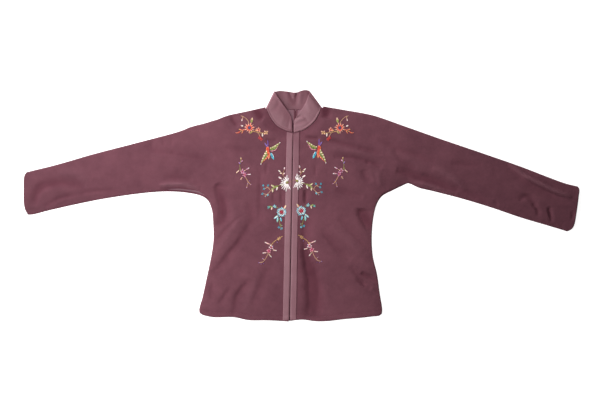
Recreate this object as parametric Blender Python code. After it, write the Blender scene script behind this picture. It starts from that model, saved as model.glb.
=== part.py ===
"""A light padded jacket laid flat on its back: two backs, two fronts, a stand collar and two front bands.

Each back and each front is cut in one with its sleeve, so the jacket has a seam along the top of the
sleeves, one under the arms and down the sides, and one down the middle of the back. The fronts meet
edge to edge over a hidden fastening, and a band of satin lies along each of those edges.

The tables are in millimetres, measured from the middle of the laid jacket. X runs across it, from the
sleeve on the wearer's right at -X to the one on the wearer's left at +X, Y from the hem to the collar,
and Z up from the surface that it lies on.
"""

from collections import namedtuple

import bpy
import numpy as np
from mathutils import Vector
from mathutils.geometry import delaunay_2d_cdt

MM = 0.001

WALL = 3.0
COLLAR_WALL = 2.4
BAND_WALL = 1.0
BAND_WIDTH = 15.5
GAP = 0.3
EDGE_ROUNDING = 2.6
SEAM_LIP = 0.4
FRONT_STEP_BACK = 0.5

LIFT_MOST = 3.9
LIFT_CALM = 1.9
LIFT_AT_NECK = 1.0
LIFT_SOFTNESS = 0.3
SWELL_REACH = 16.0
SEAM_REACH = 5.0
NECK_REACH = 12.0

OUTLINE_STEP = 16.0
UNDERARM_STEP = 9.0
FRONT_INSETS = (0.9, 3.2)
BACK_INSETS = (1.6,)
FRONT_STEP = 12.5
BACK_STEP = 60.0
FINE_REACH = 1.7
SHARP_ANGLE = np.radians(50)

Point = namedtuple("Point", "x y")
Fold = namedtuple("Fold", "x0 y0 x1 y1 x2 y2 width height")
Tuck = namedtuple("Tuck", "x y reach amount")
Station = namedtuple("Station", "lower_x lower_y upper_x upper_y lower_z upper_z")
Edge = namedtuple("Edge", "kind line")
Panel = namedtuple("Panel", "loop ends kinds")
Side = namedtuple("Side", "name way shoulder cuff under hem neck_corner front_neck front_hem")

# Edges of the sleeve and side on the wearer's right

RIGHT_SHOULDER = (
    Point(-95.6, 260.9),
    Point(-148.0, 249.0),
    Point(-198.0, 238.0),
    Point(-216.0, 230.8),
    Point(-265.0, 215.7),
    Point(-292.0, 209.0),
    Point(-322.0, 197.0),
    Point(-410.0, 173.0),
    Point(-561.0, 133.6),
    Point(-640.0, 110.5),
    Point(-728.0, 88.5),
)
RIGHT_CUFF = (
    Point(-728.0, 88.5),
    Point(-733.5, 79.0),
    Point(-734.6, 40.0),
    Point(-734.0, 3.0),
    Point(-730.0, -14.0),
    Point(-723.5, -24.5),
)
RIGHT_UNDER = (
    Point(-723.5, -24.5),
    Point(-712.0, -23.8),
    Point(-665.0, -12.0),
    Point(-532.0, 16.4),
    Point(-410.0, 33.9),
    Point(-350.0, 37.2),
    Point(-299.0, 33.4),
    Point(-266.0, 25.8),
    Point(-248.0, 14.0),
    Point(-237.2, -12.0),
    Point(-234.0, -45.0),
    Point(-233.2, -92.0),
    Point(-239.3, -135.0),
    Point(-252.5, -198.5),
    Point(-263.0, -246.0),
    Point(-270.5, -272.0),
    Point(-270.6, -283.0),
    Point(-263.5, -289.0),
)

# Edges of the sleeve and side on the wearer's left

LEFT_SHOULDER = (
    Point(57.6, 262.9),
    Point(117.0, 252.8),
    Point(175.0, 242.5),
    Point(204.0, 234.8),
    Point(273.0, 210.4),
    Point(369.0, 176.5),
    Point(475.0, 140.4),
    Point(581.0, 103.4),
    Point(660.0, 73.0),
    Point(700.0, 58.6),
    Point(732.0, 50.8),
)
LEFT_CUFF = (
    Point(732.0, 50.8),
    Point(736.4, 44.0),
    Point(734.4, 27.0),
    Point(729.0, -11.0),
    Point(721.5, -53.0),
    Point(715.0, -63.0),
    Point(704.0, -68.6),
)
LEFT_UNDER = (
    Point(704.0, -68.6),
    Point(660.0, -55.2),
    Point(580.0, -31.5),
    Point(501.0, -4.6),
    Point(421.6, 19.3),
    Point(347.4, 38.4),
    Point(310.0, 47.4),
    Point(291.0, 56.4),
    Point(281.0, 59.2),
    Point(270.0, 54.0),
    Point(241.0, 40.0),
    Point(214.0, 25.2),
    Point(200.0, 4.6),
    Point(190.4, -34.0),
    Point(186.6, -80.0),
    Point(189.0, -132.0),
    Point(200.5, -182.0),
    Point(208.0, -235.0),
    Point(213.9, -272.0),
    Point(213.2, -286.0),
    Point(206.0, -292.0),
)

# The hem, and the edges that run down the middle

RIGHT_HEM = (
    Point(-263.5, -289.0),
    Point(-236.0, -295.4),
    Point(-178.0, -295.6),
    Point(-140.0, -303.2),
    Point(-92.5, -303.8),
    Point(-60.0, -305.2),
)
LEFT_HEM = (
    Point(206.0, -292.0),
    Point(157.0, -297.3),
    Point(117.0, -300.4),
    Point(66.0, -306.0),
    Point(35.0, -306.0),
    Point(3.0, -302.0),
)
RIGHT_FRONT_NECK = Point(-23.6, 192.4)
RIGHT_FRONT_HEM = Point(-33.9, -306.6)
LEFT_FRONT_NECK = Point(-20.2, 192.4)
LEFT_FRONT_HEM = Point(-28.6, -304.8)
BACK_NECK = Point(-15.0, 254.2)
BACK_HEM = Point(-28.0, -305.4)
RIGHT_NECK_CORNER = Point(-94.8, 256.9)
LEFT_NECK_CORNER = Point(56.8, 259.0)

# Where a front's edge is drawn in from the back's along the underarm seam

TUCKS = (
    Tuck(-325.0, 36.0, 42.0, 7.5),
    Tuck(-275.0, 30.0, 26.0, 7.0),
    Tuck(230.0, 36.0, 30.0, 3.0),
    Tuck(330.0, 43.0, 50.0, 2.4),
)

# The collar's wall: each station's seam and upper edge, from the wearer's right front round to the left

COLLAR_RIGHT = (
    Station(-23.8, 193.6, -23.8, 223.0, 5.8, 5.9),
    Station(-34.0, 196.2, -29.6, 240.0, 5.8, 6.6),
    Station(-48.0, 201.2, -41.0, 257.0, 5.8, 7.1),
    Station(-66.0, 212.6, -53.6, 274.6, 5.8, 7.3),
    Station(-81.4, 233.4, -63.6, 289.4, 6.0, 7.1),
    Station(-90.4, 254.4, -68.2, 296.8, 6.4, 6.7),
)
COLLAR_BACK = (
    Station(-89.6, 259.4, -67.4, 301.6, 1.3, 1.3),
    Station(-72.0, 258.2, -56.0, 303.4, 1.3, 1.3),
    Station(-46.0, 256.0, -36.0, 301.4, 1.3, 1.3),
    Station(-15.0, 255.0, -16.0, 298.6, 1.3, 1.3),
    Station(10.0, 256.6, -3.0, 302.6, 1.3, 1.3),
    Station(34.0, 259.2, 8.4, 305.6, 1.3, 1.3),
    Station(50.6, 261.4, 18.2, 304.4, 1.3, 1.3),
)
COLLAR_LEFT = (
    Station(51.4, 256.6, 20.2, 297.4, 6.6, 7.2),
    Station(43.6, 236.6, 10.4, 270.8, 6.1, 7.4),
    Station(30.6, 218.0, -2.0, 251.0, 5.9, 7.3),
    Station(10.0, 202.4, -12.6, 235.0, 5.8, 6.8),
    Station(-8.0, 195.8, -18.0, 226.0, 5.8, 6.0),
    Station(-19.8, 193.4, -19.8, 214.0, 5.8, 5.8),
)
COLLAR_TURN = 3
COLLAR_ALONG = 2
COLLAR_ACROSS = 5
COLLAR_SEAM = 0.5

# The two halves

SIDES = (
    Side(
        "right",
        1,
        RIGHT_SHOULDER,
        RIGHT_CUFF,
        RIGHT_UNDER,
        RIGHT_HEM,
        RIGHT_NECK_CORNER,
        RIGHT_FRONT_NECK,
        RIGHT_FRONT_HEM,
    ),
    Side(
        "left",
        -1,
        LEFT_SHOULDER,
        LEFT_CUFF,
        LEFT_UNDER,
        LEFT_HEM,
        LEFT_NECK_CORNER,
        LEFT_FRONT_NECK,
        LEFT_FRONT_HEM,
    ),
)

# The largest creases of the fronts: start, middle and end, the width, and the height of the crease

FOLDS = (
    Fold(-136, -51, -180, -124, -234, -210, 15, -2.6),
    Fold(-165, -28, -204, -92, -232, -150, 17, 1.3),
    Fold(-221, 10, -212, -30, -214, -72, 13, -2.2),
    Fold(-115, -140, -144, -216, -180, -285, 15, -2.3),
    Fold(-82, -120, -106, -210, -128, -290, 18, 1.2),
    Fold(-94, 50, -97, -10, -92, -75, 11, -1.6),
    Fold(-72, 45, -75, 10, -72, -30, 9, -1.0),
    Fold(14, -20, 9, -130, 31, -303, 15, -3.0),
    Fold(52, -60, 40, -160, 58, -290, 18, 1.6),
    Fold(46, -34, 84, -91, 124, -148, 12, -1.9),
    Fold(68, -28, 118, -64, 168, -114, 12, -1.8),
    Fold(92, -20, 136, -56, 184, -84, 13, 1.1),
    Fold(176, -2, 168, -30, 160, -58, 12, -2.2),
    Fold(142, -176, 170, -190, 202, -201, 8, -2.2),
    Fold(150, -160, 172, -164, 196, -172, 9, -1.2),
    Fold(96, -200, 120, -240, 138, -290, 17, 1.4),
    Fold(58, 175, 98, 171, 140, 160, 10, -1.9),
    Fold(70, 158, 118, 150, 160, 132, 12, 1.1),
    Fold(178, 128, 220, 94, 262, 72, 16, 1.4),
    Fold(250, 92, 312, 74, 384, 46, 20, -2.0),
    Fold(300, 118, 372, 96, 450, 60, 20, 1.2),
    Fold(560, 98, 632, 66, 706, 28, 9, 2.0),
    Fold(566, 74, 634, 44, 704, 10, 12, -1.7),
    Fold(592, 10, 602, -8, 612, -24, 10, -1.6),
    Fold(646, -12, 658, -30, 664, -44, 9, -1.7),
    Fold(-712, 12, -668, 48, -606, 62, 13, -2.1),
    Fold(-704, 4, -670, 16, -628, 16, 11, -1.5),
    Fold(-716, 48, -660, 78, -590, 90, 16, 1.2),
    Fold(-404, 166, -330, 146, -232, 102, 12, -1.8),
    Fold(-380, 140, -310, 124, -244, 84, 15, 1.2),
    Fold(-384, 62, -330, 64, -268, 44, 15, 1.3),
    Fold(-420, 52, -350, 47, -285, 52, 10, -1.4),
    Fold(-190, 236, -186, 224, -178, 208, 9, -1.7),
    Fold(-108, 252, -104, 232, -92, 210, 10, -1.5),
    Fold(66, 252, 62, 236, 52, 216, 11, -1.8),
)

FOLD_PIECES = 14


# Curves and distances


def smooth_curve(rows, step):
    """A smooth curve through the rows, cut at equal steps along it, with both ends kept."""
    knots = np.array(rows, float)
    before = 2 * knots[0] - knots[1]
    after = 2 * knots[-1] - knots[-2]
    knots = np.vstack([before, knots, after])
    spacing = np.sqrt(np.linalg.norm(np.diff(knots, axis=0), axis=1))
    at = np.concatenate([[0.0], np.cumsum(spacing)])
    fine = []
    for i in range(1, len(knots) - 2):
        p0, p1, p2, p3 = knots[i - 1 : i + 3]
        t0, t1, t2, t3 = at[i - 1 : i + 3]
        t = np.linspace(t1, t2, 24, endpoint=False)[:, None]
        a1 = (t1 - t) / (t1 - t0) * p0 + (t - t0) / (t1 - t0) * p1
        a2 = (t2 - t) / (t2 - t1) * p1 + (t - t1) / (t2 - t1) * p2
        a3 = (t3 - t) / (t3 - t2) * p2 + (t - t2) / (t3 - t2) * p3
        b1 = (t2 - t) / (t2 - t0) * a1 + (t - t0) / (t2 - t0) * a2
        b2 = (t3 - t) / (t3 - t1) * a2 + (t - t1) / (t3 - t1) * a3
        fine.append((t2 - t) / (t2 - t1) * b1 + (t - t1) / (t2 - t1) * b2)
    fine = np.vstack(fine + [knots[-2:-1]])
    return evenly(fine, step)


def evenly(line, step):
    """The same line, cut at equal steps of about this length."""
    lengths = np.linalg.norm(np.diff(line, axis=0), axis=1)
    along = np.concatenate([[0.0], np.cumsum(lengths)])
    count = max(1, round(along[-1] / step))
    wanted = np.linspace(0.0, along[-1], count + 1)
    return np.column_stack([np.interp(wanted, along, line[:, k]) for k in range(line.shape[1])])


def distance_to(points, starts, ends):
    """How far each point is from the nearest of these segments, which one it is, and how far along it."""
    run = ends - starts
    length2 = np.maximum((run**2).sum(axis=1), 1e-12)
    away = points[:, None, :] - starts[None]
    along = np.clip((away * run[None]).sum(axis=2) / length2, 0.0, 1.0)
    apart = away - along[..., None] * run[None]
    far = np.sqrt((apart**2).sum(axis=2))
    nearest = far.argmin(axis=1)
    rows = np.arange(len(points))
    return far[rows, nearest], nearest, along[rows, nearest]


def inset(loop, amount):
    """The closed loop, which runs anticlockwise, drawn in by this amount."""
    before = loop - np.roll(loop, 1, axis=0)
    after = np.roll(loop, -1, axis=0) - loop
    inward = []
    for way in (before, after):
        way = way / np.linalg.norm(way, axis=1)[:, None]
        inward.append(np.column_stack([-way[:, 1], way[:, 0]]))
    middle = inward[0] + inward[1]
    middle /= np.linalg.norm(middle, axis=1)[:, None]
    lean = np.maximum((middle * inward[0]).sum(axis=1), 0.5)
    return loop + middle * (amount / lean)[:, None]


def fold_height(points):
    """What the creases add to the height of the cloth at each point."""
    total = np.zeros(len(points))
    t = np.linspace(0.0, 1.0, FOLD_PIECES + 1)[:, None]
    for fold in FOLDS:
        start, middle, end = np.array(fold[:6], float).reshape(3, 2)
        bend = 2 * middle - (start + end) / 2
        line = (1 - t) ** 2 * start + 2 * t * (1 - t) * bend + t**2 * end
        far, piece, along = distance_to(points, line[:-1], line[1:])
        share = (piece + along) / FOLD_PIECES
        fade = np.sqrt(np.maximum(np.sin(np.pi * share), 0.0))
        total += fold.height * fade * np.exp(-((far / fold.width) ** 2))
    return total


def near_fold(points):
    """Whether each point lies on a crease or close beside it."""
    near = np.zeros(len(points), bool)
    for fold in FOLDS:
        line = np.array(fold[:6], float).reshape(3, 2)
        far, _, _ = distance_to(points, line[:-1], line[1:])
        near |= far < FINE_REACH * fold.width
    return near


# Panels: a wall of even thickness over an outline, with rounded edges


def join_edges(edges):
    """A panel's loop, anticlockwise, from its edges in that order, each with its kind."""
    loop = np.vstack([edge.line[:-1] for edge in edges])
    kinds = np.array([edge.kind for edge in edges for _ in edge.line[:-1]])
    return Panel(loop, np.roll(loop, -1, axis=0), kinds)


def from_edges(panel, points, *kinds):
    """How far each point is from the nearest edge of these kinds, or of any kind."""
    chosen = np.isin(panel.kinds, kinds) if kinds else np.ones(len(panel.kinds), bool)
    return distance_to(points, panel.loop[chosen], panel.ends[chosen])[0]


def inside(loop, points):
    """Whether each point lies inside the closed loop."""
    result = np.zeros(len(points), bool)
    for (ax, ay), (bx, by) in zip(loop, np.roll(loop, -1, axis=0)):
        if ay != by:
            crosses = (ay > points[:, 1]) != (by > points[:, 1])
            result ^= crosses & (points[:, 0] < (bx - ax) * (points[:, 1] - ay) / (by - ay) + ax)
    return result


def lattice(panel, step, keep_away, coarse=1, fine_where=None):
    """Points on a triangular lattice inside the panel: each one where it is fine, elsewhere one in so many."""
    low = panel.loop.min(axis=0)
    high = panel.loop.max(axis=0)
    row_step = step * np.sqrt(0.75)
    rows = int((high[1] - low[1]) / row_step) + 1
    places = int((high[0] - low[0]) / step) + 2
    j, i = np.mgrid[0:rows, 0:places]
    points = np.column_stack([(low[0] + (i + j % 2 / 2) * step).ravel(), (low[1] + j * row_step).ravel()])
    on_coarse = ((j % coarse == 0) & ((i + j // coarse % 2) % coarse == 0)).ravel()
    kept = inside(panel.loop, points)
    points = points[kept]
    wanted = on_coarse[kept]
    if fine_where:
        wanted |= fine_where(points)
    return points[wanted & (from_edges(panel, points) > keep_away)]


def triangulate(panel, insets, loose, line=None):
    """The panel's plan as points and triangles. The inset loops and the line are edges in it."""
    count = len(panel.loop)
    stack = [panel.loop]
    links = []
    for amount in insets:
        first = count * len(stack)
        stack.append(inset(panel.loop, amount))
        links += [(first + i, first + (i + 1) % count) for i in range(count)]
    if line is not None:
        first = count * len(stack)
        stack.append(line)
        links += [(first + i, first + i + 1) for i in range(len(line) - 1)]
    stack.append(loose)
    plan = [Vector(point) for point in np.vstack(stack)]
    points, _, triangles, _, _, _ = delaunay_2d_cdt(plan, links, [list(range(count))], 1, 1e-6)
    return np.array([point[:] for point in points]), np.array(triangles)


def closed_wall(panel, points, triangles, faces):
    """A closed wall between the two faces, which meet along the panel's edge."""
    on_edge = from_edges(panel, points) < 1e-3
    top, bottom = faces(panel, points)
    top[on_edge] = (top[on_edge] + bottom[on_edge]) / 2
    below = np.arange(len(points))
    below[~on_edge] = len(points) + np.arange((~on_edge).sum())
    upper = np.column_stack([points, top])
    lower = np.column_stack([points, bottom])[~on_edge]
    return np.vstack([upper, lower]), np.vstack([triangles, below[triangles][:, ::-1]])


def edge_shape(panel, points):
    """Half the wall's thickness at each point, and how far the wall leans to the seam beside it."""
    away, nearest, _ = distance_to(points, panel.loop, panel.ends)
    left = np.clip(1.0 - away / EDGE_ROUNDING, 0.0, 1.0)
    lean = (panel.kinds[nearest] == "seam") * left**2 * (WALL / 2 - SEAM_LIP)
    return WALL / 2 * np.sqrt(1.0 - left**2), lean


def front_lift(panel, points):
    """How far a front stands off the back: not at all at the seams, and a little under its creases."""
    from_seam = from_edges(panel, points, "seam")
    wave = (LIFT_CALM + fold_height(points)) * (1 - np.exp(-from_seam / SWELL_REACH))
    above = 0.5 * (wave + np.sqrt(wave**2 + LIFT_SOFTNESS))
    room = LIFT_MOST - above
    lift = LIFT_MOST - 0.5 * (room + np.sqrt(room**2 + LIFT_SOFTNESS))
    neck = np.exp(-((from_edges(panel, points, "neck") / NECK_REACH) ** 2))
    return (lift * (1 - neck) + LIFT_AT_NECK * neck) * (1 - np.exp(-from_seam / SEAM_REACH))


def front_faces(panel, points):
    """The heights of a front's outer and inner face."""
    half, lean = edge_shape(panel, points)
    middle = WALL + GAP + front_lift(panel, points) + WALL / 2 - lean
    return middle + half, np.maximum(middle - half, WALL + GAP)


def back_faces(panel, points):
    """The heights of a back's inner face, which is the upper one, and of its flat outer face."""
    half, lean = edge_shape(panel, points)
    middle = WALL / 2 + lean
    return np.minimum(middle + half, WALL), np.maximum(middle - half, 0.0)


# The collar and the bands


def turned(front, back, way):
    """Stations round the fold at the collar's side, a half circle from the front to the back."""
    middle = (front + back) / 2
    rise = middle[2:4] - middle[:2]
    outward = np.array([-rise[1], rise[0]]) * way / np.hypot(*rise)
    rows = []
    for angle in np.linspace(0, np.pi, COLLAR_TURN + 2)[1:-1]:
        row = middle + (front - back) / 2 * np.cos(angle)
        row[:4] += np.concatenate([outward * (front - back)[end] / 2 for end in (4, 5)]) * np.sin(angle)
        rows.append(row)
    return rows


def halved(stations):
    """The stations with further ones between them, on a smooth curve."""
    rows = np.array(stations)
    places = np.linspace(0, len(rows) - 1, (len(rows) - 1) * COLLAR_ALONG + 1)
    before = np.clip(places.astype(int), 0, len(rows) - 2)
    t = (places - before)[:, None]
    slopes = np.gradient(rows, axis=0)
    curve = (2 * t**3 - 3 * t**2 + 1) * rows[before] + (t**3 - 2 * t**2 + t) * slopes[before]
    return curve + (3 * t**2 - 2 * t**3) * rows[before + 1] + (t**3 - t**2) * slopes[before + 1]


def collar_wall(stations):
    """The middle surface of the collar, as rows of points from its seam to its upper edge."""
    lower = stations[:, None, [0, 1, 4]]
    upper = stations[:, None, [2, 3, 5]]
    share = np.linspace(0.0, 1.0, COLLAR_ACROSS)[None, :, None]
    return lower * (1 - share) + upper * share


def neckline(stations):
    """The edge of a panel that is sewn to this stretch of the collar, just clear of it."""
    away = stations[:, :2] - stations[:, 2:4]
    away /= np.linalg.norm(away, axis=1)[:, None]
    return stations[:, :2] + away * COLLAR_SEAM


def thickened(grid, thickness):
    """A closed wall of this thickness, half on each side of a grid of points."""
    out = np.cross(np.gradient(grid, axis=0), np.gradient(grid, axis=1))
    out *= thickness / 2 / np.linalg.norm(out, axis=2)[..., None]
    faces = [(grid + out).reshape(-1, 3), (grid - out).reshape(-1, 3)]
    index = np.arange(len(faces[0])).reshape(grid.shape[:2])
    a, b, c, d = (part.ravel() for part in (index[:-1, :-1], index[1:, :-1], index[1:, 1:], index[:-1, 1:]))
    front = np.vstack([np.column_stack([a, b, c]), np.column_stack([a, c, d])])
    rim = np.concatenate([index[:-1, 0], index[-1, :-1], index[:0:-1, -1], index[0, :0:-1]])
    back = front[:, ::-1] + index.size
    return np.vstack(faces), np.vstack([front, back, wrapped(np.roll(rim, -1), rim, index.size)])


def wrapped(after, rim, count):
    """The narrow faces between a rim and the same rim on the other side of a wall."""
    return np.vstack([
        np.column_stack([after, rim, rim + count]),
        np.column_stack([after, rim + count, after + count]),
    ])


def band_on(points, triangles, heights, chosen):
    """A thin strip made from the chosen triangles of a front's outer face, moved out."""
    used, index = np.unique(triangles[chosen], return_inverse=True)
    strip = index.reshape(-1, 3)
    floor = np.column_stack([points[used], heights[used] + GAP])
    sides = np.vstack([strip[:, [0, 1]], strip[:, [1, 2]], strip[:, [2, 0]]]).tolist()
    known = set(map(tuple, sides))
    rim = np.array([side for side in sides if (side[1], side[0]) not in known])
    walls = wrapped(rim[:, 1], rim[:, 0], len(used))
    return np.vstack([floor + [0, 0, BAND_WALL], floor]), np.vstack([strip, strip[:, ::-1] + len(used), walls])


# Pieces


def half_panel(side, neck_line, middle_neck, middle_hem):
    """The edges of one half of the jacket's front or back, in anticlockwise order."""
    edges = [
        Edge("neck", np.vstack([[middle_neck], neck_line[1:], [side.neck_corner, side.shoulder[0]]])),
        Edge("seam", smooth_curve(side.shoulder, OUTLINE_STEP)),
        Edge("open", smooth_curve(side.cuff, OUTLINE_STEP / 2)),
        Edge("seam", smooth_curve(side.under, UNDERARM_STEP)),
        Edge("open", smooth_curve([*side.hem, middle_hem], OUTLINE_STEP)),
        Edge("middle", evenly(np.array([middle_hem, middle_neck], float), OUTLINE_STEP)),
    ]
    return edges if side.way > 0 else [Edge(edge.kind, edge.line[::-1]) for edge in edges[::-1]]


def drawn_in(edges):
    """The edges of a front, its outer ones a little inside the back's, and more where it is tucked."""
    result = []
    for edge in edges:
        line = edge.line
        if edge.kind in ("seam", "open"):
            way = np.gradient(line, axis=0)
            way /= np.linalg.norm(way, axis=1)[:, None]
            amount = np.full(len(line), FRONT_STEP_BACK)
            for tuck in TUCKS:
                far = np.hypot(line[:, 0] - tuck.x, line[:, 1] - tuck.y)
                amount += tuck.amount * np.exp(-((far / tuck.reach) ** 2))
            line = line + np.column_stack([-way[:, 1], way[:, 0]]) * amount[:, None]
        result.append(Edge(edge.kind, line))
    return result


def band_line(panel):
    """The band's outer edge on a front, and how far in from the front's middle edge each point lies."""
    middle = panel.kinds == "middle"
    start, end = panel.loop[middle][0], panel.ends[middle][-1]
    way = (end - start) / np.hypot(*(end - start))
    across = np.array([-way[1], way[0]])
    row = evenly(np.array([start, end]) + across * BAND_WIDTH, OUTLINE_STEP)
    return row, lambda points: (points - start) @ across


def front_and_band(edges):
    """The wall of a front, and the wall of the band that lies along its middle edge."""
    panel = join_edges(drawn_in(edges))
    row, distance_in = band_line(panel)
    first = inset(panel.loop, FRONT_INSETS[0])
    row = row[inside(inset(panel.loop, FRONT_STEP), row)]
    way = (row[-1] - row[0]) / np.hypot(*(row[-1] - row[0]))
    row = np.vstack([reach_edge(first, row[0], -way), row, reach_edge(first, row[-1], way)])
    loose = lattice(panel, FRONT_STEP, FRONT_STEP * 0.5, 2, near_fold)
    loose = loose[np.abs(distance_in(loose) - BAND_WIDTH) > FRONT_STEP * 0.4]
    points, triangles = triangulate(panel, FRONT_INSETS, loose, row)
    middles = points[triangles].mean(axis=1)
    on_band = inside(first, middles) & (distance_in(middles) < BAND_WIDTH)
    heights = front_faces(panel, points)[0]
    return closed_wall(panel, points, triangles, front_faces), band_on(points, triangles, heights, on_band)


def reach_edge(loop, point, way):
    """The point moved along the way until it is just past the loop."""
    ends = np.roll(loop, -1, axis=0)
    run = ends - loop
    cross = way[0] * run[:, 1] - way[1] * run[:, 0]
    away = loop - point
    far = (away[:, 0] * run[:, 1] - away[:, 1] * run[:, 0]) / cross
    along = (away[:, 0] * way[1] - away[:, 1] * way[0]) / cross
    return point + way * (far[(far > 0) & (along >= 0) & (along <= 1)].min() + FRONT_INSETS[0] / 2)


def back_half(edges):
    panel = join_edges(edges)
    loose = lattice(panel, BACK_STEP, BACK_STEP * 0.3)
    points, triangles = triangulate(panel, BACK_INSETS, loose)
    return closed_wall(panel, points, triangles, back_faces)


# Materials and objects


def finish(name, colour, roughness, sheen):
    material = bpy.data.materials.new(name)
    material.use_nodes = True
    shader = material.node_tree.nodes["Principled BSDF"]
    shader.inputs["Base Color"].default_value = (*colour, 1.0)
    shader.inputs["Roughness"].default_value = roughness
    shader.inputs["Metallic"].default_value = 0.0
    shader.inputs["Sheen Weight"].default_value = sheen
    material.diffuse_color = (*colour, 1.0)
    return material


def make_object(name, wall, material):
    vertices, faces = wall
    mesh = bpy.data.meshes.new(name)
    mesh.from_pydata((vertices * MM).tolist(), [], faces.tolist())
    mesh.shade_smooth()
    mesh.set_sharp_from_angle(angle=SHARP_ANGLE)
    mesh.materials.append(material)
    obj = bpy.data.objects.new(name, mesh)
    bpy.context.scene.collection.objects.link(obj)
    return obj


def build_walls():
    """The walls of all the pieces by name, in millimetres."""
    right, back, left = halved(COLLAR_RIGHT), halved(COLLAR_BACK), halved(COLLAR_LEFT)
    right_turn = turned(right[-1], back[0], 1)
    left_turn = turned(left[0], back[-1], -1)[::-1]
    collar = collar_wall(np.vstack([right, right_turn, back, left_turn, left]))
    walls = {"collar": thickened(collar, COLLAR_WALL)}
    middle = len(back) // 2
    sewn_to = {"right": (right, back[middle::-1]), "left": (left[::-1], back[middle:])}
    for side in SIDES:
        front_stations, back_stations = sewn_to[side.name]
        front = half_panel(side, neckline(front_stations), side.front_neck, side.front_hem)
        walls["front_" + side.name], walls["band_" + side.name] = front_and_band(front)
        aside = np.array([-side.way * GAP / 2, 0.0])
        behind = half_panel(side, neckline(back_stations), BACK_NECK + aside, BACK_HEM + aside)
        walls["back_" + side.name] = back_half(behind)
    return walls


def centred(walls):
    """The same walls with the middle of their box over the origin, and its floor at no height."""
    every = np.vstack([vertices for vertices, _ in walls.values()])
    low, high = every.min(axis=0), every.max(axis=0)
    origin = np.array([(low[0] + high[0]) / 2, (low[1] + high[1]) / 2, low[2]])
    return {name: (vertices - origin, faces) for name, (vertices, faces) in walls.items()}


def main():
    for obj in list(bpy.data.objects):
        bpy.data.objects.remove(obj)
    cloth = finish("plum_cloth", (0.19, 0.075, 0.095), 0.85, 0.3)
    satin = finish("mauve_satin", (0.29, 0.14, 0.175), 0.45, 0.1)
    for name, wall in centred(build_walls()).items():
        make_object(name, wall, cloth if name.startswith(("front", "back")) else satin)


main()
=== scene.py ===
# %% [markdown]
# # A light jacket with embroidered fronts, laid flat
#
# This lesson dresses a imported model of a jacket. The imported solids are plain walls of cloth. Here each one
# gets a finer shell on the same form, with its creases, seams and hem, and then its cloth, satin and silk
# threads. The jacket lies on its back, so a piece is a height above the table for each place on it. X runs
# from the sleeve on the wearer's right at -X to the one on the left, Y from the hem to the collar, and Z
# upwards.

# %%
# Load the frame
from collections import namedtuple

import bmesh
import bpy
import numpy as np
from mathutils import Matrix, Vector, noise
from mathutils.bvhtree import BVHTree
from mathutils.geometry import delaunay_2d_cdt
from mathutils.kdtree import KDTree


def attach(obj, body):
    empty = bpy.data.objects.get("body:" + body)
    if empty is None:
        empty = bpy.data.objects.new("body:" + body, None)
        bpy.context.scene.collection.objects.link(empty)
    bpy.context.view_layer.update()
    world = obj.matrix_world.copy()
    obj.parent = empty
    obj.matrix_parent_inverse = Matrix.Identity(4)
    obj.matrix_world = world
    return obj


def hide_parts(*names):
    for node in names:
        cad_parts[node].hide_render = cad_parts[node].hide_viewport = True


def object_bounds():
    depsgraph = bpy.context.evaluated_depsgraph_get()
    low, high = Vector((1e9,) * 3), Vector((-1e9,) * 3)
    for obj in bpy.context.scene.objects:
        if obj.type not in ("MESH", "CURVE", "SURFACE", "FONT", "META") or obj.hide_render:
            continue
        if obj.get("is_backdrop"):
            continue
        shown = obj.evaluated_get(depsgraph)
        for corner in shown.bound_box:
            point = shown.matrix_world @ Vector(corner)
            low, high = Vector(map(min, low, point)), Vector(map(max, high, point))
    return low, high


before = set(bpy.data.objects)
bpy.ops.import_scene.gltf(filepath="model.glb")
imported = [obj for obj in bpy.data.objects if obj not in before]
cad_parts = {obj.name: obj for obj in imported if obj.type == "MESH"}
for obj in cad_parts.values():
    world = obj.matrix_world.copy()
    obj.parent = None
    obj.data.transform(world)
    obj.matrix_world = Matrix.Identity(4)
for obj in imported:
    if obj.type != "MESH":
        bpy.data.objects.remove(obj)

cad_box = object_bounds()
print("pieces in the frame:", ", ".join(sorted(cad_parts)))

# %% [markdown]
# ## Sizes
#
# The jacket is a small adult size, 1.47 m from cuff to cuff. Lengths are in millimetres here, because a
# tailor thinks in them, and become metres when a mesh is made. The tables were measured from the middle of
# the cuffs, collar and hem, which lies a little to one side of the middle of the finished model.

# %%
# Sizes of the cloth
MM = 0.001
TABLE_ORIGIN = np.array([0.75, -0.5])
WALL = 3.0
GAP = 0.3
EDGE_ROUNDING = 2.6
SEAM_LIP = 0.4
HEM_DEPTH = 13.0
BAND_WIDTH = 15.5
BAND_WALL = 1.1
COLLAR_WALL = 2.4
FRONT_STEP = 3.6
BACK_STEP = 9.0
FRONT_INSETS = (0.3, 0.8, 1.6, 2.6, 4.2)
BACK_INSETS = (0.3, 1.0, 2.2, 5.0)

RIGHT_FRONT_NECK = np.array([-22.4, 192.4])
RIGHT_FRONT_HEM = np.array([-32.7, -306.6])
LEFT_FRONT_NECK = np.array([-21.4, 192.4])
LEFT_FRONT_HEM = np.array([-29.8, -304.8])


def middle_x(y):
    """Where the line between the two fronts lies, at this height."""
    neck = (RIGHT_FRONT_NECK + LEFT_FRONT_NECK) / 2
    hem = (RIGHT_FRONT_HEM + LEFT_FRONT_HEM) / 2
    return neck[0] + (y - neck[1]) * (hem[0] - neck[0]) / (hem[1] - neck[1])


print("each layer of cloth is", WALL, "mm thick, and the bands are", BAND_WIDTH, "mm wide")

# %% [markdown]
# ## Curves and meshes
#
# A few helpers are used by every piece. One cuts a line into equal steps, one draws a smooth curve through
# a few knots, and one finds how far points are from an edge. A k-d tree answers that last question quickly,
# because it only looks at the samples that are near. A value kept at each vertex of a mesh is an attribute.

# %%
# Helpers for curves, distances and meshes
CURVE_STEPS = 12
# Limits of the painted shading, the light and shade painted into a cloth's colour
PAINTED_SHADING_LEAST, PAINTED_SHADING_MOST = -2.6, 1.6


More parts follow.
